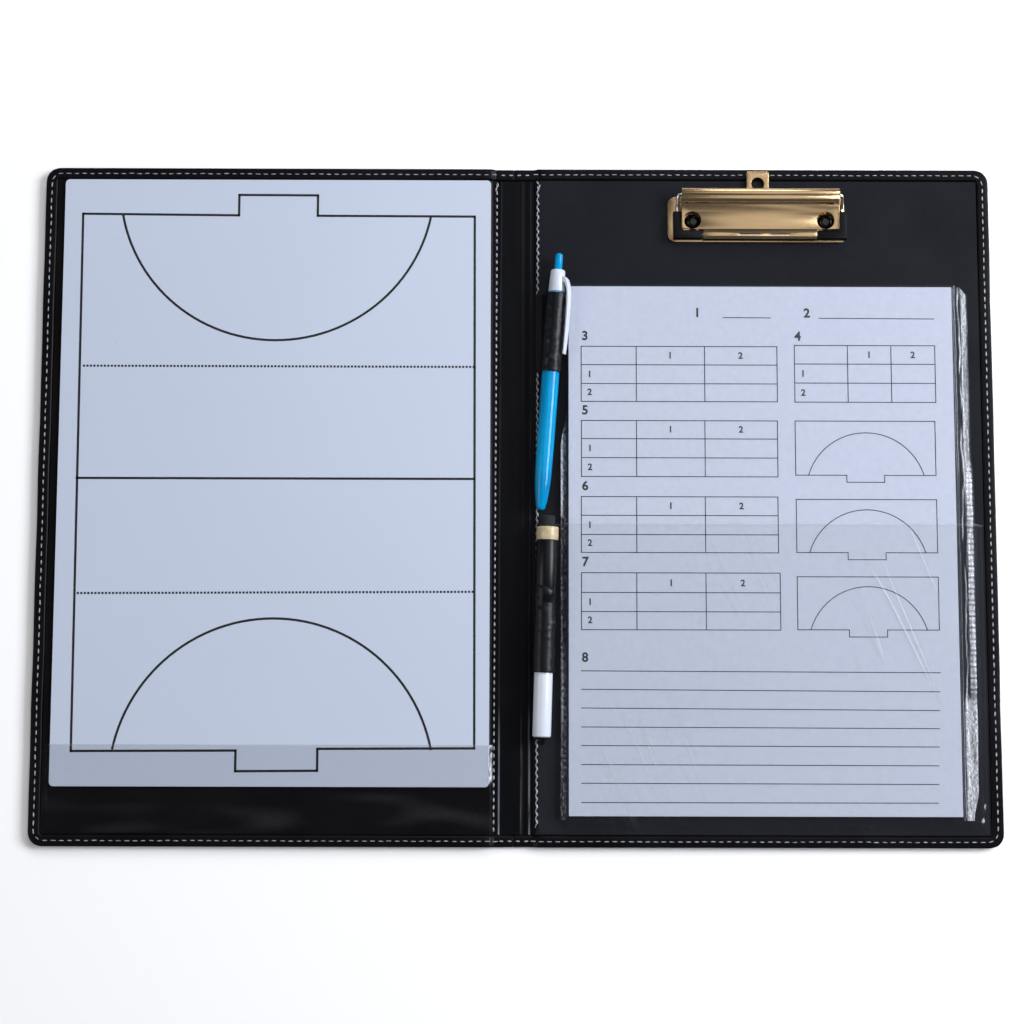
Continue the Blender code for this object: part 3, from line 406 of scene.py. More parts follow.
def lining_height(side, x, y):
    """Middle of the lining's thickness: low over the spine, high over the board, in millimetres."""
    height = 1.15 + 1.8 * rise(side, x)
    over_spine = 1 - rise(side, x)
    foot = 0.45 + 0.55 * step(-96, -118, y)
    folds = sum(tall * foot * peak(x, fold_place(middle, y), width)
                for middle, width, tall in FOLDS) - 0.18 * peak(x, 4.0, 1.0)
    crinkle = 0.10 * waver(x * 0.22, y * 0.018, 1.0)
    flat = 0.06 * waver(x * 0.02, y * 0.02, 7.0)
    return height + over_spine * (folds + crinkle) + (1 - over_spine) * flat


def worn(x, y, z):
    """How pale the lining is painted along its folds, as wear and as a painted highlight on the fold
    ridges: hardly at the top, clearly near the foot.
    """
    broken = 0.6 + 0.8 * waver(x * 0.5, y * 0.09, 2.0)
    foot = step(-96, -118, y)
    lines = sum(peak(x, fold_place(middle, y), 0.2) * (always + more * foot)
                for middle, (always, more) in PALE.items())
    return lines * broken


def new_grid(name, columns, rows):
    """A grid primitive, one metre square."""
    bpy.ops.object.select_all(action="DESELECT")
    bpy.ops.mesh.primitive_grid_add(x_subdivisions=columns, y_subdivisions=rows, size=1)
    return named(name)


def thicken(sheet, wall):
    """Give a sheet its wall, in millimetres, half of it to each side."""
    thickness = sheet.modifiers.new("thickness", "SOLIDIFY")
    thickness.thickness, thickness.offset = wall * MM, 0


# %% Two halves of lining, with most of their columns over the spine
def lining_half(side):
    sign = SIGN[side]
    dense = abs(RAMPS[side][1]) + 1.5

    def lay_out(x, y, z):
        u = (x / 1000 + 0.5) if sign > 0 else (0.5 - x / 1000)
        if u < 0.6:
            across = SPINE_MIDDLE + (sign * dense - SPINE_MIDDLE) * u / 0.6
        else:
            across = sign * (dense + (LINING_X - dense) * (u - 0.6) / 0.4)
        down = y / 1000 * 2 * LINING_Y
        return across, down, lining_height(side, across, down)

    sheet = new_grid(side + "_lining_leather", 120, 64)
    shape(sheet, lay_out)
    paint(sheet, worn)
    return sheet


for side, skin_finish in (("front", front_lining_leather), ("back", back_lining_leather)):
    sheet = lining_half(side)
    thicken(sheet, LINING_WALL)
    finish_piece(sheet, None, skin_finish,
                 stands_for=(side + "_lining", "spine_lining"))
    bend_at_crease(sheet, side)
    sheet.data.materials.append(spine_leather)
    for face in sheet.data.polygons:
        if abs(face.center.x / MM) < abs(RAMPS[side][0]) + 0.6:
            face.material_index = 1

# %% [markdown]
# ## The thread
#
# The hem and both seams beside the spine are lock-stitched with pale polyester thread, about four
# stitches to 15 mm. Each stitch shows as a short raised dash that dives into the leather at both
# ends. One stitch is modelled from a low sphere and copied along each seam, since hundreds of them
# have to stay light. Copies on different bodies are joined into separate pieces.

# %% Thread finish, one stitch, and a way to repeat a small shape
def mottled(name, dark, light, width, detail=3, ends=(0.3, 0.7), broken=0.5, **settings):
    """A finish whose colour wanders from dark to light in patches of a width in millimetres."""
    finish, tree, shader, place = new_finish(name, **settings)
    patches = add_node(tree, "TexNoise", Vector=place, Scale=1000 / width, Detail=detail,
                       Roughness=broken)
    colour = add_node(tree, "ValToRGB", stops=[(ends[0], dark), (ends[1], light)],
                      Fac=patches.outputs["Fac"])
    feed(tree, shader, Base_Color=colour.outputs["Color"])
    return finish, tree, shader, place, patches.outputs["Fac"]


def join(name, pieces):
    """Join pieces into one."""
    bpy.ops.object.select_all(action="DESELECT")
    for piece in pieces:
        piece.select_set(True)
    bpy.context.view_layer.objects.active = pieces[0]
    bpy.ops.object.join()
    return named(name)


def model_of(name):
    """Keep the mesh of the piece just added, and remove the piece."""
    piece = named(name)
    mesh = piece.data.copy()
    bpy.data.objects.remove(piece)
    return mesh


def repeat(name, mesh, placings, finish, body, smooth=True):
    """Copy a mesh to each placing (x, y, z, turn, length, width, height) and join the copies."""
    copies = []
    for x, y, z, turn, length, width, height in placings:
        one = bpy.data.objects.new(name, mesh.copy())
        bpy.context.scene.collection.objects.link(one)
        size = Matrix.Diagonal((length * MM, width * MM, height * MM, 1))
        one.data.transform(Matrix.Translation(Vector((x, y, z)) * MM)
                           @ Matrix.Rotation(turn, 4, "Z") @ size)
        copies.append(one)
    made = join(name, copies)
    made.data.materials.append(finish)
    if smooth:
        bpy.ops.object.shade_smooth()
    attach(made, body)
    print(name, len(placings), "copies")


thread = mottled("polyester_thread", "6F7078", "B4B4BE", 1.1, 2, Roughness=0.55,
                 Sheen_Weight=0.2)[0]
bpy.ops.object.select_all(action="DESELECT")
bpy.ops.mesh.primitive_uv_sphere_add(segments=6, ring_count=5, radius=0.5)
stitch_mesh = model_of("one_stitch")


def sew(name, body, stitches, height=0.55):
    """Lay one stitch at each (x, y, z, turn, length, width)."""
    repeat(name, stitch_mesh, [(*stitch, height) for stitch in stitches], thread, body)


# %% Run of the hem stitches round each cover. They lie flat, so the board slides out over them.
HEM_LINE = 3.0
THREAD_PITCH = 3.9


def hem_run(sign, start_x):
    """Points every stitch along the hem, from the spine round the cover and back to the spine."""
    x, y, r = EDGE_X - HEM_LINE, EDGE_Y - HEM_LINE, 5.0
    turn = [math.pi / 2 * i / 8 for i in range(1, 9)]
    corners = [(start_x, y), (x - r, y)]
    corners += [(x - r + r * math.sin(a), y - r + r * math.cos(a)) for a in turn]
    corners += [(x, -(y - r))]
    corners += [(x - r + r * math.cos(a), -(y - r) - r * math.sin(a)) for a in turn]
    corners += [(start_x, -y)]
    run, travelled, next_stop = [], 0.0, THREAD_PITCH / 2
    for (ax, ay), (bx, by) in zip(corners, corners[1:]):
        length = math.dist((ax, ay), (bx, by))
        while next_stop <= travelled + length:
            t = (next_stop - travelled) / length
            direction = math.atan2(by - ay, (bx - ax) * sign)
            run.append((sign * (ax + (bx - ax) * t), ay + (by - ay) * t, direction))
            next_stop += THREAD_PITCH
        travelled += length
    return run


rng = random.Random(7)
for side, start_x in (("front", 9.4), ("back", 7.2)):
    sew(side + "_hem_stitches", side + "_cover",
        [(x + rng.uniform(-0.12, 0.12), y + rng.uniform(-0.12, 0.12), 3.33,
          turn + rng.uniform(-0.06, 0.06), rng.uniform(2.8, 3.4),
          rng.uniform(0.48, 0.62) if abs(y) > 160 else rng.uniform(0.7, 0.88))
         for x, y, turn in hem_run(SIGN[side], start_x)], 0.3)
for edge, sign in (("top", 1), ("foot", -1)):
    sew(edge + "_spine_stitches", "spine",
        [(x, sign * (EDGE_Y - HEM_LINE), 1.95, rng.uniform(-0.1, 0.1), 2.3, 0.8)
         for x in (-6.9, -3.1, 0.9, 4.9)])

# %% Seams beside the spine. The right one is hidden where the loops are sewn in
UNDER_LOOPS = ((64, 105), (-84, -40))
left_seam = [(-10.0 - 0.7 * step(160, -160, y), y, 2.2, math.pi / 2 + rng.uniform(-0.08, 0.08),
              2.4, 0.95) for y in [157.5 - 3.5 * i for i in range(91)]]
left_seam += [(-9.6, 158.2, 2.3, 1.9, 2.4, 0.9), (-10.4, 155.8, 2.3, 1.3, 2.4, 0.9)]
sew("left_seam_stitches", "front_cover", left_seam)
right_seam, under_thread = [], []
for i in range(87):
    y = 156 - 3.6 * i
    if any(low < y < high for low, high in UNDER_LOOPS):
        continue
    x = 10.35 - 0.35 * step(160, -160, y)
    right_seam.append((x, y, 3.25, math.pi / 2 + 0.28 + rng.uniform(-0.08, 0.08), 2.7, 1.0))
    under_thread.append((x - 0.45, y - 1.8, 3.15, math.pi / 2 - 0.3, 2.9, 0.5))
right_seam += [(10.9, 157.0, 3.3, 1.2, 2.3, 0.9), (10.1, 158.8, 3.3, 2.2, 2.0, 0.9)]
sew("right_seam_stitches", "back_cover", right_seam)
sew("right_seam_under_thread", "back_cover", under_thread)

# %% [markdown]
# ## The board and its print
#
# The board is a white melamine laminate, smooth enough to wipe. Its CAD shape is right, so it only
# gets its finish: a cool white whose gloss varies where it was wiped, and a few specks of old ink.
# The pitch is screen printed on it. Ink is thin but real, so the lines are strips 0.05 mm high that
# stand on the laminate. Straight ones repeat one unit block, and each shooting circle is one spin.

# %% Laminate and ink
def laminate_finish():
    finish, tree, shader, place = new_finish("melamine_laminate", Coat_Weight=0.2,
                                             Coat_Roughness=0.08)
    rubbed = add_node(tree, "TexNoise", Vector=place, Scale=1000 / 42, Detail=2)
    specks = add_node(tree, "TexVoronoi", Vector=place, Scale=1000 / 16)
    wiped = add_node(tree, "ValToRGB", stops=[(0.1, "B9C2D4"), (0.9, "BAC3D5")],
                     Fac=rubbed.outputs["Fac"])
    fleck = add_node(tree, "MapRange", Value=specks.outputs["Distance"], From_Min=0.016,
                     From_Max=0.024, To_Min=0.35, To_Max=0.0)
    colour = add_node(tree, "Mix", {"data_type": "RGBA"}, i0=fleck.outputs[0],
                      i6=wiped.outputs["Color"], i7=hex_colour("70757F"))
    gloss = add_node(tree, "MapRange", Value=rubbed.outputs["Fac"], From_Min=0.3, From_Max=0.7,
                     To_Min=0.29, To_Max=0.34)
    feed(tree, shader, Base_Color=colour.outputs[2], Roughness=gloss.outputs[0])
    return finish


def ink_finish(name, dark, light):
    """Printing ink. It lies on the surface, a little broken where the surface is rough."""
    return mottled(name, dark, light, 1.5, ends=(0.35, 0.75), Roughness=0.5)[0]


def dress(finish, *nodes):
    """Give CAD nodes whose own shape is right one of this scene's finishes."""
    for name in nodes:
        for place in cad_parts[name].material_slots:
            place.material = finish


dress(laminate_finish(), "whiteboard")
board_ink = ink_finish("screen_ink_on_board", "050608", "101117")
bpy.ops.object.select_all(action="DESELECT")
bpy.ops.mesh.primitive_cube_add(size=1)
unit_block = model_of("unit_block")
print("Finishes so far:", len(bpy.data.materials))


# %% Straight lines of the pitch, in millimetres
LINE = 1.15
INK = 0.05


def run_of(points, z, width):
    """Placings of the unit block along a run of points."""
    placings = []
    for (ax, ay), (bx, by) in zip(points, points[1:]):
        length = math.dist((ax, ay), (bx, by)) + width
        placings.append(((ax + bx) / 2, (ay + by) / 2, z, math.atan2(by - ay, bx - ax),
                         length, width, INK))
    return placings


board_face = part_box("whiteboard")[1].z / MM
ink_z = board_face + INK / 2
left, right, foot, top = -213.5, -20.5, -119.9, 141.6
outline = [(-212.8, -120.7), (-213.9, 142.2), (-137.1, top), (-137.1, 151.9), (-98.3, 151.8),
           (-98.3, 141.5), (-20.9, 141.3), (-20.0, -119.0), (-95.0, -119.4), (-95.0, -129.8),
           (-134.1, -130.1), (-134.1, -120.3), (-212.8, -120.7)]
halfway = 10.9
repeat("pitch_lines", unit_block, run_of(outline, ink_z, LINE)
       + run_of([(left, halfway), (right, halfway)], ink_z, LINE), board_ink, "board", smooth=False)
dots = [(left + 2 + 1.7 * i, start + (end - start) * i / 113, ink_z, 0, 1.05, 1.05, INK)
        for start, end in ((66.2, 66.1), (-45.1, -44.0)) for i in range(113)]
repeat("pitch_dotted_lines", unit_block, dots, board_ink, "board", smooth=False)


# %% The two shooting circles, each one arc that ends on its backline
def arc_line(name, centre, radius, start, sweep, z, width):
    """Start from a short block at the arc's start, and spin its end face round the centre."""
    x, y = centre
    piece = slab(name, (x + radius - width / 2, x + radius + width / 2), (y - 0.05, y),
                 (z - INK / 2, z + INK / 2))
    pick(piece, lambda face: face.normal.y > 0.9)
    bpy.ops.mesh.spin(steps=56, angle=-math.radians(sweep), center=(x * MM, y * MM, 0),
                      axis=(0, 0, 1))
    leave_edit()
    middle = Vector((x, y, 0)) * MM
    piece.data.transform(Matrix.Translation(middle) @ Matrix.Rotation(math.radians(start), 4, "Z")
                         @ Matrix.Translation(-middle))
    return piece


for name, backline, towards, middle, half, depth in (
        ("top_circle", top, -1, -118.3, 75.9, 62.5), ("foot_circle", foot, 1, -116.9, 76.2, 62.8)):
    radius = (half ** 2 + depth ** 2) / (2 * depth)
    rest = math.degrees(math.acos(half / radius))
    circle = arc_line(name, (middle, backline - towards * (radius - depth)), radius,
                      rest + (0 if towards > 0 else 180), 180 - 2 * rest, ink_z, LINE)
    circle.data.materials.append(board_ink)
    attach(circle, "board")
    print(name, "radius", round(radius, 1), "mm")

# %% [markdown]
# ## The score sheets
#
# A pad of uncoated offset paper. It is matt, with a faint mottle from the pulp. The form on it is a
# laser print: four small tables and one more, three diagrams of the goal circle, and ruled lines for
# notes. Its headings are plain numbers. The grid is again the unit block, laid along each rule.

# %% Paper and the form's rules
def paper_finish():
    finish, tree, shader, place, pulp = mottled("offset_paper", "B2B9CA", "BAC1D2", 3.0, 5,
                                                broken=0.7, Roughness=0.85,
                                                Specular_IOR_Level=0.3)
    waves = add_node(tree, "TexNoise", Vector=place, Scale=1000 / 70, Detail=2)
    tooth = add_node(tree, "Bump", Strength=0.15, Distance=0.05 * MM, Height=pulp)
    cockle = add_node(tree, "Bump", Strength=0.3, Distance=1.2 * MM, Height=waves.outputs["Fac"],
                      Normal=tooth.outputs["Normal"])
    feed(tree, shader, Normal=cockle.outputs["Normal"])
    return finish


dress(paper_finish(), "score_sheets")
form_ink = ink_finish("toner_on_paper", "14161B", "282B33")
form_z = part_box("score_sheets")[1].z / MM + INK / 2
RULE = 0.42


def table_rules(columns, rows):
    """Every rule of a table from its column and row places."""
    lines = []
    for x in columns:
        lines += run_of([(x, rows[0]), (x, rows[-1])], form_z, RULE)
    for y in rows:
        lines += run_of([(columns[0], y), (columns[-1], y)], form_z, RULE)
    return lines


tables = [([31.3, 58.1, 91.4, 126.7], [75.8, 66.7, 57.4, 48.6]),
          ([31.4, 58.1, 91.3, 126.5], [39.2, 30.3, 21.0, 11.8]),
          ([31.3, 58.0, 91.2, 126.3], [2.0, -7.1, -16.4, -25.1]),
          ([31.3, 57.9, 91.2, 126.9], [-34.9, -44.4, -53.6, -62.3]),
          ([135.2, 161.1, 182.3, 203.7], [76.5, 67.3, 57.9, 48.5])]
rules = [line for columns, rows in tables for line in table_rules(columns, rows)]
rules += run_of([(100.7, 90.2), (123.7, 90.1)], form_z, RULE)
rules += run_of([(147.6, 90.0), (203.5, 89.8)], form_z, RULE)
note_ends = [(-82.0, 202.9, -82.5), (-90.8, 202.6, -91.6), (-99.7, 202.3, -100.5),
             (-108.7, 202.0, -109.1), (-117.5, 201.7, -117.8), (-126.5, 201.4, -126.7),
             (-135.3, 201.1, -135.5), (-144.4, 200.8, -144.3)]
for start_y, end_x, end_y in note_ends:
    rules += run_of([(31.2, start_y), (end_x, end_y)], form_z, RULE)
print("Tables and notes:", len(rules), "rules")

# %% Three goal diagrams on the form
for low, high in ((12.7, 39.2), (-24.9, 0.9), (-62.1, -36.6)):
    notch = low - 3.4
    box = [(135.1, low), (135.1, high), (203.0, high), (203.0, low), (178.1, low), (178.1, notch),
           (159.8, notch), (159.8, low), (135.1, low)]
    rules += run_of(box, form_z, RULE)
    arc = [(169.3 + 29.2 * math.sin(a), low - 8.4 + 29.2 * math.cos(a))
           for a in [math.radians(73.3 * (i / 12 - 1)) for i in range(25)]]
    rules += run_of(arc, form_z, RULE)
repeat("form_rules", unit_block, rules, form_ink, "score_pad", smooth=False)


# %% Plain numbers for the form's headings
def numeral(text, x, y, size):
    """Type a number, give it a thickness and make it a mesh, with its foot at x and y."""
    bpy.ops.object.select_all(action="DESELECT")
    bpy.ops.object.text_add(location=(x * MM, y * MM, form_z * MM))
    typed = bpy.context.active_object
    typed.data.body = text
    typed.data.size = size * MM
    typed.data.offset = 0.03 * size * MM
    typed.data.extrude = INK / 2 * MM
    typed.data.resolution_u = 3
    bpy.ops.object.convert(target="MESH")
    made = bpy.context.active_object
    apply_place(made)
    return made


HEADING, SMALL = 6.2, 4.4
headings = [(86.5, 90.6), (140.0, 90.5), (31.6, 79.0), (135.4, 79.0), (31.6, 42.3), (31.6, 5.2),
            (31.6, -31.6), (31.4, -77.6)]
numbers = [(str(i + 1), x, y, HEADING) for i, (x, y) in enumerate(headings)]
for columns, rows in tables:
    for i in (1, 2):
        middle = (columns[i] + columns[i + 1]) / 2
        numbers.append((str(i), middle - 1.2, rows[1] + 3.2, SMALL))
        numbers.append((str(i), columns[0] + 3.0, rows[i + 1] + 3.2, SMALL))
form_numbers = join("form_numbers", [numeral(*number) for number in numbers])
form_numbers.data.materials.clear()
form_numbers.data.materials.append(form_ink)
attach(form_numbers, "score_pad")
print("form_numbers", len(numbers), "numbers")

# %% [markdown]
# ## The clear pockets
#
# Each pocket is a sheet of clear PVC, about 0.2 mm thick, caught under the hem and in the seam by the
# spine. It lies on the lining at its edges and rises over what it holds, so it is a grid whose points
# are lifted to that height. Clear film takes away a little of the light beneath it, so the shader is
# mostly see-through, with a dark tint. Where the film is creased and pulled it catches glints along
# its ridges. These glints are painted: there the colour turns pale and less clear, as a painted
# highlight.

# %% Film finish
def film_finish(name, tint, glint_colour, clear, most, gloss, fine):
    """Clear plastic film. It covers a share from clear to most, as its crease attribute says.

    fine is the width in millimetres of the small crackle inside a crease. Along the crease attribute
    the film is painted pale and less clear, a painted highlight for the glints of creased film. Where
    the wrinkle attribute is set, long thin lines of painted highlight show along lines of tension,
    about 9 mm apart.
    """
    finish, tree, shader, place = new_finish(name, Roughness=gloss, Specular_IOR_Level=0.35)
    # Creases and wrinkle lines get painted highlights: there the colour turns pale and the film grows
    # less clear.
    crease = add_node(tree, "Attribute", {"attribute_name": "crease"})
    crackle = add_node(tree, "TexNoise", Vector=place, Scale=1000 / fine, Detail=4,
                       Roughness=0.7)
    bright = add_node(tree, "MapRange", Value=crackle.outputs["Fac"], From_Min=0.35,
                      From_Max=0.62, To_Min=0.45, To_Max=1.0)
    crushed = add_node(tree, "Math", {"operation": "MULTIPLY"}, i0=crease.outputs["Fac"],
                       i1=bright.outputs[0])
    turned_way = add_node(tree, "Mapping", Vector=place, Rotation=(0, 0, math.radians(67)))
    long_way = add_node(tree, "Mapping", Vector=turned_way.outputs[0],
                        Scale=(1000 / 330, 1000 / 9, 1))
    tension = add_node(tree, "TexNoise", Vector=long_way.outputs[0], Scale=1.0, Detail=1)
    beside = add_node(tree, "Math", {"operation": "SUBTRACT"}, i0=tension.outputs["Fac"], i1=0.5)
    away = add_node(tree, "Math", {"operation": "ABSOLUTE"}, i0=beside.outputs[0])
    line = add_node(tree, "MapRange", Value=away.outputs[0], From_Min=0.0, From_Max=0.016,
                    To_Min=1.0, To_Max=0.0)
    wrinkle = add_node(tree, "Attribute", {"attribute_name": "wrinkle"})
    share = add_node(tree, "Math", {"operation": "MULTIPLY_ADD"}, i0=wrinkle.outputs["Fac"],
                     i1=line.outputs[0], i2=crushed.outputs[0])
    # Painted highlight: where the share rises, the film is painted pale and less clear.
    pale = add_node(tree, "MapRange", Value=share.outputs[0], From_Max=0.12)
    colour = add_node(tree, "Mix", {"data_type": "RGBA"}, i0=pale.outputs[0],
                      i6=hex_colour(tint), i7=hex_colour(glint_colour))
    cover = add_node(tree, "MapRange", Value=share.outputs[0], To_Min=clear, To_Max=most)
    ripple = add_node(tree, "Bump", Strength=0.5, Distance=0.25 * MM,
                      Height=crackle.outputs["Fac"])
    feed(tree, shader, Base_Color=colour.outputs[2], Alpha=cover.outputs[0],
         Normal=ripple.outputs["Normal"])
    return finish


# %% A grid laid over things
def lay_grid(name, columns, rows, place):
    """A grid whose point in column i and row j is moved to place(i, j), in millimetres."""
    sheet = new_grid(name, columns, rows)
    shape(sheet, lambda x, y, z: place(round((x / 1000 + 0.5) * columns),
                                       round((y / 1000 + 0.5) * rows)))
    return sheet


def sheet_grid(name, across, down, height):
    """A grid with its lines at the places across and down, lifted to height(x, y)."""
    return lay_grid(name, len(across) - 1, len(down) - 1,
                    lambda i, j: (across[i], down[j], height(across[i], down[j])))


def between(start, end, pitch):
    """Even places from start up to but without end."""
    count = max(1, round(abs(end - start) / pitch))
    return [start + (end - start) * i / count for i in range(count)]


# %% Front pocket
# The second colour of each film is the pale colour of its painted glints.
front_film = film_finish("clear_pvc_front", "14161C", "E4E8F2", 0.07, 0.85, 0.14, 1.2)
back_film = film_finish("clear_pvc_back", "686C76", "F0F4FF", 0.025, 0.8, 0.16, 1.2)
PVC_WALL, BAG_WALL = 0.2, 0.06
LINING_TOP = 3.2
board_low, board_high = [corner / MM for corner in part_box("whiteboard")]


def front_film_height(x, y):
    over_x = step(board_low.x - 2.2, board_low.x - 0.5, x) * step(board_high.x + 1.5,
                                                                  board_high.x + 0.3, x)
    over_y = step(board_low.y - 9.0, board_low.y - 0.3, y)
    ripple = waver(x * 0.045, y * 0.12, 3.0)
    low = LINING_TOP + 0.22 + 0.03 * (1 + ripple)
    high = board_high.z + 0.28 + 0.03 * (1 + ripple)
    return low + (high - low) * over_x * over_y


front_across = [-226.5, -226.0] + between(-225.4, -222.0, 0.4) + between(-222, -14, 3.0) + (
    between(-14, -11.4, 0.3) + [-11.3])
front_down = between(-159.2, -147, 1.5) + between(-147, -136.5, 0.8) + (
    between(-136.5, -117.4, 1.6) + [-117.4])
front_pocket = sheet_grid("front_pocket", front_across, front_down, front_film_height)


def front_scuffs(x, y, z):
    """Painted glints where the pocket's corner is caught in the seam, a painted highlight along its
    top edge, and faint painted reflections in streaks near the foot.
    """
    corner = peak(x, -12.4, 0.8) * step(-136, -134, y) * step(-115, -117.6, y) * max(
        0, 0.5 + 2.2 * waver(x * 1.1, y * 0.8, 3.0))
    edge = 0.09 * step(-118.4, -117.6, y) * step(board_low.x - 1, board_low.x, x)
    # Painted reflections: faint pale streaks on the film near the foot.
    streak_reflections = 0.025 * max(0, waver(x * 0.03, y * 0.11, 5.0)) * step(-139, -143, y)
    return corner + edge + streak_reflections


paint(front_pocket, front_scuffs)
thicken(front_pocket, PVC_WALL)
finish_piece(front_pocket, "front_cover", front_film, 60,
             stands_for=("front_pocket_film",))

# %% [markdown]
# ## The bag round the pad
#
# The pad sits in a thin polypropylene bag, open at the top. The bag is wider than the pad, so its
# sides stand proud as crumpled margins, and it crackles into fine bright creases there. A grid is
# bent into a tube: along the bottom, round the right margin, back over the top and round the left.
# Its foot is pinched shut, as the weld does.

# %% Places of the bag's points
pad_low, pad_high = [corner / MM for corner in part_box("score_sheets")]
bag_left, bag_foot, bag_mouth = 21.4, -152.7, 106.5
under, over = 3.75, pad_high.z + 0.22
margin_places = [pad_high.x + 0.3 + 0.3 * i for i in range(28)]
right_columns = between(120, pad_high.x + 0.3, 5.0) + margin_places
left_columns = between(120, 25.0, 5.0) + [25.0, 24.5, 24.1, 23.7, 23.3, 22.9, 22.5, 22.1, 21.7,
                                          21.4]
ring = [(x, -1) for x in right_columns] + [(x, 1) for x in reversed(right_columns[:-1])]
ring += [(x, 1) for x in left_columns[1:]] + [(x, -1) for x in reversed(left_columns[:-1])]
bag_rows = [bag_foot, -152.3, -151.9, -151.4] + between(-151.0, bag_mouth, 1.1) + [bag_mouth]


# %% The bag's form
def right_edge(y):
    """Where the bag's right margin ends: widest near its mouth, drawn in towards its foot."""
    narrow = 3.6 * step(101.5, 106.5, y) + 1.6 * step(40, -150, y) + 2.2 * step(-138, -152, y)
    return 221.0 - narrow + 1.5 * step(30, -6, y) + 0.5 * waver(0, y * 0.05, 3.0)


def bag_point(x, side, y):
    """One point of the bag: side is 1 on top of the pad and -1 beneath it."""
    first, last = margin_places[0], margin_places[-1]
    if x > first:
        x = first + (x - first) * (right_edge(y) - first) / (last - first)
    margin = step(first, first + 4.0, x)
    flap = step(pad_low.x - 0.4, bag_left + 0.4, x)
    tight = step(26, 46, y)
    if x < pad_low.x:
        x = x + (pad_low.x - 0.5 - x) * tight * 0.92
    folds = waver(x * 0.42, y * 0.05, 2.0) + 0.6 * waver(x * 0.9, y * 0.22, 5.0)
    crumple = folds * (0.8 * margin + 0.25 * flap * (1 - tight))
    closed = step(bag_foot + 1.9, bag_foot, y)
    middle = 5.6 - 0.6 * margin
    if side > 0:
        z = over + 0.07 * (1 + waver(x * 0.05, y * 0.06, 8.0))
        z += (middle + 0.25 - z) * max(margin, flap)
    else:
        z = under + (middle - 0.25 - under) * max(margin, flap)
    z += (4.6 - z) * closed
    return x, y, z + crumple * (1 - closed)


# %% Where the bag shines
def bag_creases(x, y, z):
    """Where the bag shines: wavering ridges, the crimped welds and the crushed lower corner."""
    if x < pad_low.x + 0.2:
        beads = 0.5 + 0.5 * math.cos(2 * math.pi * y / 3.1)
        upper = peak(x, 22.0, 0.5) * step(-12, 4, y) * step(52, 40, y)
        dotted = peak(x, 22.3, 0.35) * beads * step(-112, -104, y) * step(-70, -76, y)
        grain = max(0, waver(x * 1.3, y * 0.7, 9.0) + 0.25)
        return 0.95 * upper * (0.35 + grain) + 0.5 * dotted + 0.26 * grain * step(24.4, 23.4, x)
    if x < pad_high.x + 0.2:
        return 0.0
    out = x - pad_high.x
    wander = 1.2 * waver(0, y * 0.035, 3.0) + 0.4 * waver(0, y * 0.13, 6.0)
    gaps = step(-0.25, 0.15, waver(0, y * 0.06, 9.0))
    lines = 0.7 * peak(out, 4.2 + wander, 0.24) * gaps + 0.28 * peak(
        out, 1.6 + 0.5 * wander, 0.2) + 0.35 * peak(out, 5.4 - 0.6 * wander, 0.2) * (1 - gaps)
    high = step(-2, 10, y)
    grain = max(0, waver(x * 1.6, y * 1.1, 4.0) + 0.35)
    weld = step(4.6, 5.4, out) * step(8.2, 7.4, out) * (0.10 + 0.22 * grain)
    beads = 0.55 + 0.45 * math.cos(2 * math.pi * y / 2.7)
    strip = step(5.7, 6.3, out) * step(9.0, 8.2, out) * beads * (0.5 + 0.5 * grain)
    crushed = step(-92, -100, y) * step(2.2, 3.4, out) * (0.12 + 0.6 * grain)
    beaded = step(22, 8, y) * step(-98, -88, y)
    return (lines * (1 - 0.5 * beaded) + weld * high + strip * beaded + crushed) * step(
        0.2, 0.8, out)


# %% The bag's grid, bent into a tube
bag = lay_grid("poly_bag_film", len(ring), len(bag_rows) - 1,
               lambda i, j: bag_point(*ring[i % len(ring)], bag_rows[j]))
pick(bag, lambda vertex: True, "VERT")
bpy.ops.mesh.remove_doubles(threshold=0.02 * MM)
bpy.ops.mesh.normals_make_consistent(inside=False)
leave_edit()
paint(bag, bag_creases)
thicken(bag, BAG_WALL)
# The second colour is the pale colour of the bag's painted glints.
bag_film = film_finish("polypropylene_film", "9298A4", "F4F7FF", 0.02, 0.8, 0.12, 0.9)
finish_piece(bag, "score_pad", bag_film, 60, stands_for=("poly_bag",))
BAG_SIDE = 4.5  # the bag's rise round the pad, on each side
bag_flat = (2 * (right_edge(0) - bag_left + BAG_SIDE) * MM, (bag_mouth - bag_foot) * MM)

# %% Back pocket, over the bag
def back_film_height(x, y):
    low = LINING_TOP + 0.22 + 0.12 * (1 + waver(x * 0.08, y * 0.08, 6.0))
    high = over + 0.62 + 0.08 * (1 + waver(x * 0.04, y * 0.05, 9.0))
    rise_left = step(20.6, 24.2, x)
    fall_right = step(225.5, 221.4, x)
    from_foot = step(-159.0, bag_foot - 0.4, y)
    return low + (high - low) * rise_left * fall_right * from_foot


def back_scuffs(x, y, z):
    """Two painted glints by the lower right corner, and a painted highlight along the pocket's edge.
    """
    glints = sum(peak(x, gx, 0.55) * peak(y, gy, 0.7) for gx, gy in (
        (223.3, -146.2), (221.8, -152.6)))
    return 0.9 * glints + 0.10 * step(-12.0, -11.2, y)


def back_wrinkles(x, y, z):
    """Where the film is pulled and shows painted highlight lines: strongly by the diagrams, faintly
    over the tables and notes.
    """
    strong = 0.34 * peak(x, 189, 16) * peak(y, -52, 38)
    faint = 0.10 * peak(x, 110, 14) * peak(y, -30, 22) + 0.10 * peak(x, 62, 26) * peak(y, -125, 24)
    return (strong + faint) * step(206, 200, x) * step(26, 34, x) * step(-11.2, -14, y)


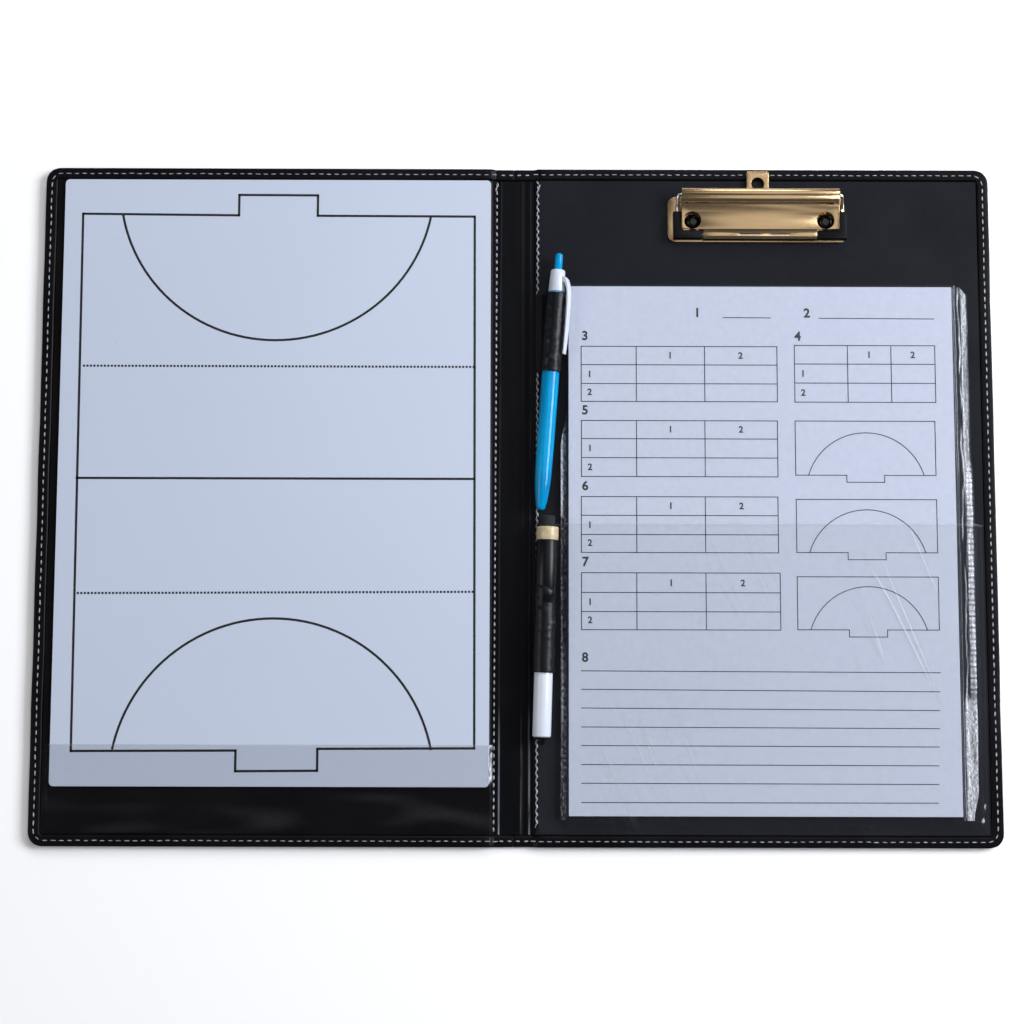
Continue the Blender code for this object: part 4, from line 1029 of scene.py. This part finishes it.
back_across = between(11.0, 20.4, 1.2) + between(20.4, 24.8, 0.4) + between(24.8, 212, 1.1) + (
    between(212, 225.6, 0.6) + [225.7])
back_down = between(-159.2, -150, 0.9) + between(-150, -10.9, 1.4) + [-10.9]
back_pocket = sheet_grid("back_pocket", back_across, back_down, back_film_height)
pick(back_pocket, lambda face: face.calc_center_median().x < 20.4 * MM and
     -85.5 * MM < face.calc_center_median().y < -39.5 * MM)
bpy.ops.mesh.delete(type="FACE")
leave_edit()
# Both attributes carry painted highlights: glints, the edge line and the wrinkle lines.
paint(back_pocket, back_scuffs)
paint(back_pocket, back_wrinkles, "wrinkle")
thicken(back_pocket, PVC_WALL)
finish_piece(back_pocket, "back_cover", back_film, 60,
             stands_for=("back_pocket_film",))

# %% [markdown]
# ## The pen loops
#
# Each loop is a strap of the same leather, sewn into the seam by the spine and closed round its
# pen. A strap this small buckles across its width as the pen goes in, which leaves crosswise folds
# that catch the light. The grid runs along the strap and across it, bends round the pen, and the
# folds are noise stretched along the strap.

# %% Loops
PENS = {"pen": ((11.64, -4.5, 8.8), math.radians(4.09)),
        "marker": ((12.13, -113.6, 9.65), math.radians(1.63))}
STRAP = 0.45


def on_axis(pen):
    """The placing that stands a shape modelled up the Z axis on a pen's foot, along the pen."""
    foot, lean = PENS[pen]
    return (Matrix.Translation(Vector(foot) * MM) @ Matrix.Rotation(-lean, 4, "Z")
            @ Matrix.Rotation(-math.pi / 2, 4, "X"))


def strap_path(pen, radius, along, seam_x):
    """A strap's path round a pen at one distance along it, as (x, z) from the pen's axis."""
    (foot_x, _, foot_z), lean = PENS[pen]
    middle = radius + 0.3 + STRAP / 2
    if seam_x is None:
        return [(middle * math.cos(math.radians(a)), middle * math.sin(math.radians(a)))
                for a in range(-80, 263, 6)]
    seam = seam_x - foot_x - along * math.sin(lean)
    inner = min(seam + 1.2, -middle + 3.4)
    low = LINING_TOP + 0.3 + STRAP / 2 - foot_z
    high = low + STRAP + 0.3
    ends = []
    for height, turn in ((low, 1), (high, -1)):
        away = math.hypot(inner, height)
        ends.append(math.atan2(height, inner) + turn * math.acos(min(1, middle / away)))
    first, last = ends[0], ends[1] + 2 * math.pi
    arc = [first + (last - first) * i / 54 for i in range(55)]
    return ([(seam, low), (inner, low)] + [(middle * math.cos(a), middle * math.sin(a))
                                           for a in arc] + [(inner, high), (seam, high)])


def pen_loop(name, pen, radius, span, seam_x, node):
    rows = between(span[0], span[1], 0.8) + [span[1]]
    count = len(strap_path(pen, radius, span[0], seam_x))

    def wind(i, j):
        along = rows[j]
        px, pz = strap_path(pen, radius, along, seam_x)[i]
        loose = step(0, 0.12, i / count) * step(1, 0.88, i / count)
        folds = (waver(i * 0.07, along * 0.32, radius)
                 + 0.6 * waver(i * 0.12, along * 0.75, radius + 4))
        ends = step(span[0], span[0] + 1.5, along) * step(span[1], span[1] - 1.5, along)
        out = 1 + loose * (max(0, folds) * 0.55 * ends + 0.06) / math.hypot(px, pz)
        return px * out, -pz * out, along

    strap = lay_grid(name, count - 1, len(rows) - 1, wind)
    strap.data.transform(on_axis(pen))
    turn_outwards(strap)
    thicken(strap, STRAP)
    round_edges(strap, 0.12)
    finish_piece(strap, "back_cover", loop_leather, 60, stands_for=(node,))


pen_loop("upper_loop_strap", "pen", 4.25, (67.5, 106.4), 10.9, "pen_loop_upper")
pen_loop("lower_loop_strap", "marker", 4.45, (30.6, 72.6), None, "pen_loop_lower")

# %% [markdown]
# ## The pens
#
# Both pens are turned forms. A circle primitive's points are moved to the outline of half the
# section, and a spin sweeps that outline round the axis. Doubled points are merged and the faces
# turned outwards, because a spin leaves both to chance. A small bevel rounds every moulded edge.

# %% A turned piece
def turned(name, half_section, pen, body, finish, stands_for=(), rounding=0.15):
    """Spin a closed outline of (radius, distance along the axis), in millimetres."""
    bpy.ops.object.select_all(action="DESELECT")
    bpy.ops.mesh.primitive_circle_add(vertices=len(half_section), radius=1)
    piece = named(name)
    for vertex, (radius, along) in zip(piece.data.vertices, half_section):
        vertex.co = Vector((radius, 0, along)) * MM
    pick(piece, lambda edge: True, "EDGE")
    bpy.ops.mesh.spin(steps=40, angle=2 * math.pi, center=(0, 0, 0), axis=(0, 0, 1))
    bpy.ops.mesh.select_all(action="SELECT")
    bpy.ops.mesh.remove_doubles(threshold=0.002 * MM)
    bpy.ops.mesh.delete_loose()
    bpy.ops.mesh.select_all(action="SELECT")
    bpy.ops.mesh.normals_make_consistent(inside=False)
    leave_edit()
    piece.data.transform(on_axis(pen))
    if rounding:
        round_edges(piece, rounding, 2, 35)
    finish_piece(piece, body, finish, 35, stands_for)
    print(name, len(piece.data.polygons), "faces")


# %% Plastics
def plastic(name, dark, light, roughness, grain=30.0, **settings):
    """Injection-moulded plastic: smooth, with faint flow marks and handling in its gloss."""
    finish, tree, shader, place = mottled(name, dark, light, grain, **settings)[:4]
    scuff = add_node(tree, "TexNoise", Vector=place, Scale=1000 / 1.2, Detail=4, Roughness=0.7)
    gloss = add_node(tree, "MapRange", Value=scuff.outputs["Fac"], From_Min=0.3, From_Max=0.75,
                     To_Min=roughness, To_Max=roughness + 0.05)
    relief = add_node(tree, "Bump", Strength=0.08, Distance=0.05 * MM, Height=scuff.outputs["Fac"])
    feed(tree, shader, Roughness=gloss.outputs[0], Normal=relief.outputs["Normal"])
    return finish


cyan_plastic = plastic("cyan_polypropylene", "0078B0", "0096CC", 0.12, 25,
                       Coat_Weight=0.14, Coat_Roughness=0.04, Specular_IOR_Level=0.16)
white_plastic = plastic("white_abs", "BEC5D2", "CCD2DE", 0.22)
# The ring is white plastic. Its tan colour is painted warm shade.
ring_plastic = plastic("white_abs_painted_warm_shade", "A8956F", "C2B394", 0.3, 2.0)
black_plastic = plastic("black_abs", "050608", "0B0C10", 0.29, Specular_IOR_Level=0.2)
felt = plastic("black_felt", "101114", "1C1D20", 0.85, 0.4)
print("Plastics made")

# %% The push-button pen
BARREL = 107.0
turned("pen_barrel_turned", [
    (3.5, BARREL), (4.0, BARREL), (4.25, 106), (4.25, 55), (4.15, 30), (3.92, 15), (3.72, 12),
    (3.45, 9), (2.85, 4.2), (2.2, 1.2), (1.7, 0), (1.35, 0), (1.35, 9), (2.6, 9.6), (2.6, 101.4),
    (3.5, 101.4)], "pen", "pen", cyan_plastic, ("pen_barrel",))
turned("pen_collar_turned", [
    (2.15, 118.2), (3.2, 118.2), (3.55, 117.6), (3.8, 113), (4.03, BARREL + 0.3),
    (3.2, BARREL + 0.3), (3.2, 101.8), (2.7, 101.8), (2.7, 117.0), (2.15, 117.0)],
    "pen", "pen", white_plastic, ("pen_collar",))
turned("pen_button_turned", [
    (0, 126.6), (1.1, 126.6), (1.7, 126.1), (1.9, 125.2), (1.9, 117), (2.4, 117), (2.4, 112.6),
    (0, 112.6)], "pen", "pen_insides", cyan_plastic, ("pen_button",))

# %% The pen's pocket clip
clip_outer = [(3.0, 114.9), (4.7, 114.6), (5.9, 113.2), (6.8, 110.6), (7.4, 107), (7.75, 101),
              (7.75, 95), (7.65, 89), (7.5, 83), (7.3, 79), (7.1, 76.2)]
clip_inner = [(3.0, 111.7), (4.4, 111.8), (5.2, 110.8), (5.9, 109.0), (6.4, 106), (6.65, 100.5),
              (6.65, 94.5), (6.6, 89), (6.5, 83), (6.35, 79), (6.2, 76.1)]
clip = slab("pen_pocket_clip", (0, 1), (-1.7, 1.7), (0, 10))
cut_across(clip, range(1, 10), "Z")


def bend_clip(x, y, z):
    i = min(10, max(0, round(z)))
    r, along = clip_outer[i] if x > 0.5 else clip_inner[i]
    narrow = 1 - 0.22 * step(4, 10, i)
    return r, y * narrow, along


shape(clip, bend_clip)
clip.data.transform(on_axis("pen") @ Matrix.Rotation(math.radians(-30), 4, "Z"))
turn_outwards(clip)
round_edges(clip, 0.35, 3, 50)
finish_piece(clip, "pen", white_plastic, 50, ("pen_collar",))
print("Pocket clip", len(clip.data.polygons), "faces")

# %% The board marker
turned("marker_barrel_turned", [
    (3.3, 76.5), (3.7, 76.5), (3.8, 75), (4.45, 73.6), (4.45, 0.6), (3.95, 0), (3.4, 0),
    (3.4, 74)], "marker", "marker_body", white_plastic, ("marker_barrel",))
turned("marker_plug_turned", [
    (0, 6), (3.1, 6), (3.1, -0.3), (3.5, -0.3), (3.2, -1.0), (1.6, -1.3), (1.35, -3.4),
    (1.0, -3.8), (0, -3.8)], "marker", "marker_body", black_plastic,
    ("marker_end_plug",))
turned("marker_cap_turned", [
    (0, 100.6), (4.5, 100.6), (4.9, 100.2), (4.9, 94.0), (5.3, 94.0), (5.3, 64.0), (5.0, 63.5),
    (4.78, 63.5), (4.78, 75), (4.2, 76.5), (4.2, 97.5), (0, 97.5)], "marker", "marker_top",
    black_plastic, ("marker_cap",))
turned("marker_ring_turned", [
    (5.2, 100.6), (5.3, 100.1), (5.3, 94.7), (5.2, 94.3), (5.05, 94.3), (5.05, 100.6)],
    "marker", "marker_top", ring_plastic, ("marker_ring",), 0.05)
dress(felt, "marker_wiper", "marker_nib")

# %% [markdown]
# ## The clip and the metals
#
# The clip is pressed steel, polished and plated in a pale champagne gold. A plated finish mirrors the
# room, so it is bright where it faces the window and brown where it faces the dark side. The wire is
# nickel plated and the corner caps are moulded rubber. The rivet heads are painted black: a painted
# dark reflection of the chrome domes seen through the flap's holes.

# %% Metals, rubber and board
def metal(name, dark, light, roughness):
    """Plated steel with the faint streaks of polishing, drawn along X."""
    finish, tree, shader, place = new_finish(name, Metallic=1.0)
    lines = add_node(tree, "Mapping", Vector=place, Scale=(1000 / 22, 1000 / 1.2, 1000 / 1.2))
    polish = add_node(tree, "TexNoise", Vector=lines.outputs[0], Scale=1.0, Detail=5,
                      Roughness=0.7)
    colour = add_node(tree, "ValToRGB", stops=[(0.3, dark), (0.7, light)],
                      Fac=polish.outputs["Fac"])
    gloss = add_node(tree, "MapRange", Value=polish.outputs["Fac"], From_Min=0.3, From_Max=0.7,
                     To_Min=roughness, To_Max=roughness + 0.06)
    relief = add_node(tree, "Bump", Strength=0.05, Distance=0.05 * MM,
                      Height=polish.outputs["Fac"])
    feed(tree, shader, Base_Color=colour.outputs["Color"], Roughness=gloss.outputs[0],
         Normal=relief.outputs["Normal"])
    return finish


gold = metal("champagne_gold_plate", "C3A57C", "CBAE86", 0.2)
nickel = metal("nickel_plate", "C9C8C6", "DDDCDA", 0.1)
# Glossy black for the rivet heads: a painted dark reflection of their chrome domes.
rivet_painted_dark_reflection = plastic("rivet_black_painted_reflection", "040405", "08080A", 0.1, 8)
rubber = plastic("black_rubber", "060607", "0B0B0D", 0.45, 6, Specular_IOR_Level=0.12)
brass = metal("refill_brass_tube", "A8833D", "B8934D", 0.25)
grey_board = plastic("grey_board_pulp", "86837C", "9A968E", 0.85, 3)


# %% CAD nodes with their edges rounded
def refine(node, body, finish, angle=40, rounding=0.0, mover=None):
    """Copy a CAD node, merge its loose triangles, round its edges a little and smooth it."""
    bpy.ops.object.select_all(action="DESELECT")
    piece = bpy.data.objects.new(node + "_finished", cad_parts[node].data.copy())
    bpy.context.scene.collection.objects.link(piece)
    pick(piece, lambda face: True)
    bpy.ops.mesh.remove_doubles(threshold=0.001 * MM)
    bpy.ops.mesh.tris_convert_to_quads(face_threshold=math.radians(1),
                                       shape_threshold=math.radians(180))
    bpy.ops.mesh.dissolve_limited(angle_limit=math.radians(0.5))
    leave_edit()
    if mover:
        shape(piece, mover)
    if rounding:
        round_edges(piece, rounding, 2, 60)
    finish_piece(piece, body, finish, angle, (node,))
    print(piece.name, len(piece.data.polygons), "faces")
    return piece


RIVETS = [sum(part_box("clip_rivet_" + side), Vector()) / 2 / MM for side in ("left", "right")]


def access_holes(x, y, z):
    """The holes in the flap sit a little nearer to the jaw than the rivets under them."""
    near = any(math.hypot(x - middle.x, y - middle.y) < 4.9 for middle in RIVETS)
    return (x - 0.7, y - 0.5, z) if near else (x, y, z)


def wide_head(x, y, z):
    """A rivet head that all but fills the hole above it."""
    middle = min(RIVETS, key=lambda place: abs(place.x - x))
    return middle.x + (x - middle.x) * 1.22, middle.y + (y - middle.y) * 1.22, z


def hidden_end(x, y, z):
    """The right end of the base plate stops under the rubber cap."""
    return 160 + (x - 160) * 0.3 if x > 160 else x, y, z


refine("clip_flap", "flap", gold, 45, 0.12, access_holes)
refine("clip_base_plate", "back_cover", gold, 40, 0.3, hidden_end)
refine("clip_hanger", "hanger", gold, 40, 0.15)
refine("clip_wire_frame", "flap", nickel, 80)
for side in ("left", "right"):
    # The rivet heads are chrome domes seen through the flap's holes. Their black is a painted dark
    # reflection, and the wide head fills each hole with it.
    refine("clip_rivet_" + side, "back_cover", rivet_painted_dark_reflection, 50, 0, wide_head)
    refine("clip_cap_" + side, "flap", rubber, 40, 0.5)
dress(nickel, "clip_hinge_pin", "clip_spring_left", "clip_spring_right")
dress(brass, "pen_refill")
dress(grey_board, "front_stiffener", "back_stiffener", "pad_backing_card")
print("Metals and plastics dressed")

# %% The pen's spring, on a mesh of its own
pen_spring = refine("pen_spring", "pen", nickel, 80)
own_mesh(pen_spring)

# %% [markdown]
# ## The stage and the camera
#
# The folder lies on a plain white surface under a big soft light, as on a table by a window. The
# light comes from the right and above, which puts the bright lines on the right of both pens. The
# camera stands above the middle, tilted a little, where the photograph was taken from.

# %% Table top and lights
bpy.ops.object.select_all(action="DESELECT")
bpy.ops.mesh.primitive_plane_add(size=9, location=(0, 0, -0.0004))
floor = named("table_top")
floor.data.materials.append(new_finish("white_table_top", Base_Color=hex_colour("FAFAFA"),
                                       Roughness=0.9)[0])


def soft_light(name, place, target, size, power, tint):
    """An area light at a place, turned to a target, in metres and watts."""
    bpy.ops.object.select_all(action="DESELECT")
    bpy.ops.object.light_add(type="AREA", location=place)
    lamp = bpy.context.active_object
    lamp.name = name
    lamp.data.shape = "RECTANGLE"
    lamp.data.size, lamp.data.size_y = size
    lamp.data.energy = power
    lamp.data.color = hex_colour(tint)[:3]
    lamp.rotation_euler = (Vector(target) - Vector(place)).to_track_quat("-Z", "Y").to_euler()


soft_light("window", (1.55, 0.4, 1.15), (0, 0, 0), (1.1, 0.9), 50, "F8FAFF")
soft_light("far_window", (0.4, 2.7, 1.8), (0, 0, 0), (1.6, 1.2), 33, "F8FAFF")
soft_light("room", (-2.5, -0.4, 1.8), (0, 0, 0), (1.8, 1.5), 24, "FFFFFF")
soft_light("ceiling", (0.3, 0.4, 1.3), (0.15, 0.15, 0), (0.9, 1.0), 2.3, "FFFFFF")
soft_light("wooden_cupboard", (-1.15, 0.0, 0.42), (0, 0, 0.01), (0.5, 1.3), 0.6, "E0A060")
world = bpy.data.worlds.new("room")
bpy.context.scene.world = world
world.use_nodes = True
sky = world.node_tree.nodes["Background"].inputs
sky["Color"].default_value = (0.9, 0.94, 1.0, 1)
sky["Strength"].default_value = 0.12

# %% Camera
camera_data = bpy.data.cameras.new("photo_camera")
camera = bpy.data.objects.new("photo_camera", camera_data)
bpy.context.scene.collection.objects.link(camera)
camera.location = (-0.00396, -0.11107, 0.94681)
camera.rotation_euler = [math.radians(a) for a in (6.411, -0.122, 0.139)]
camera_data.lens = 68.76
camera_data.sensor_width = 36
camera_data.clip_start = 0.01
bpy.context.scene.camera = camera
bpy.context.scene.view_settings.view_transform = "Standard"
print("Camera", [round(v / MM, 1) for v in camera.location], "mm,", camera_data.lens, "mm lens")
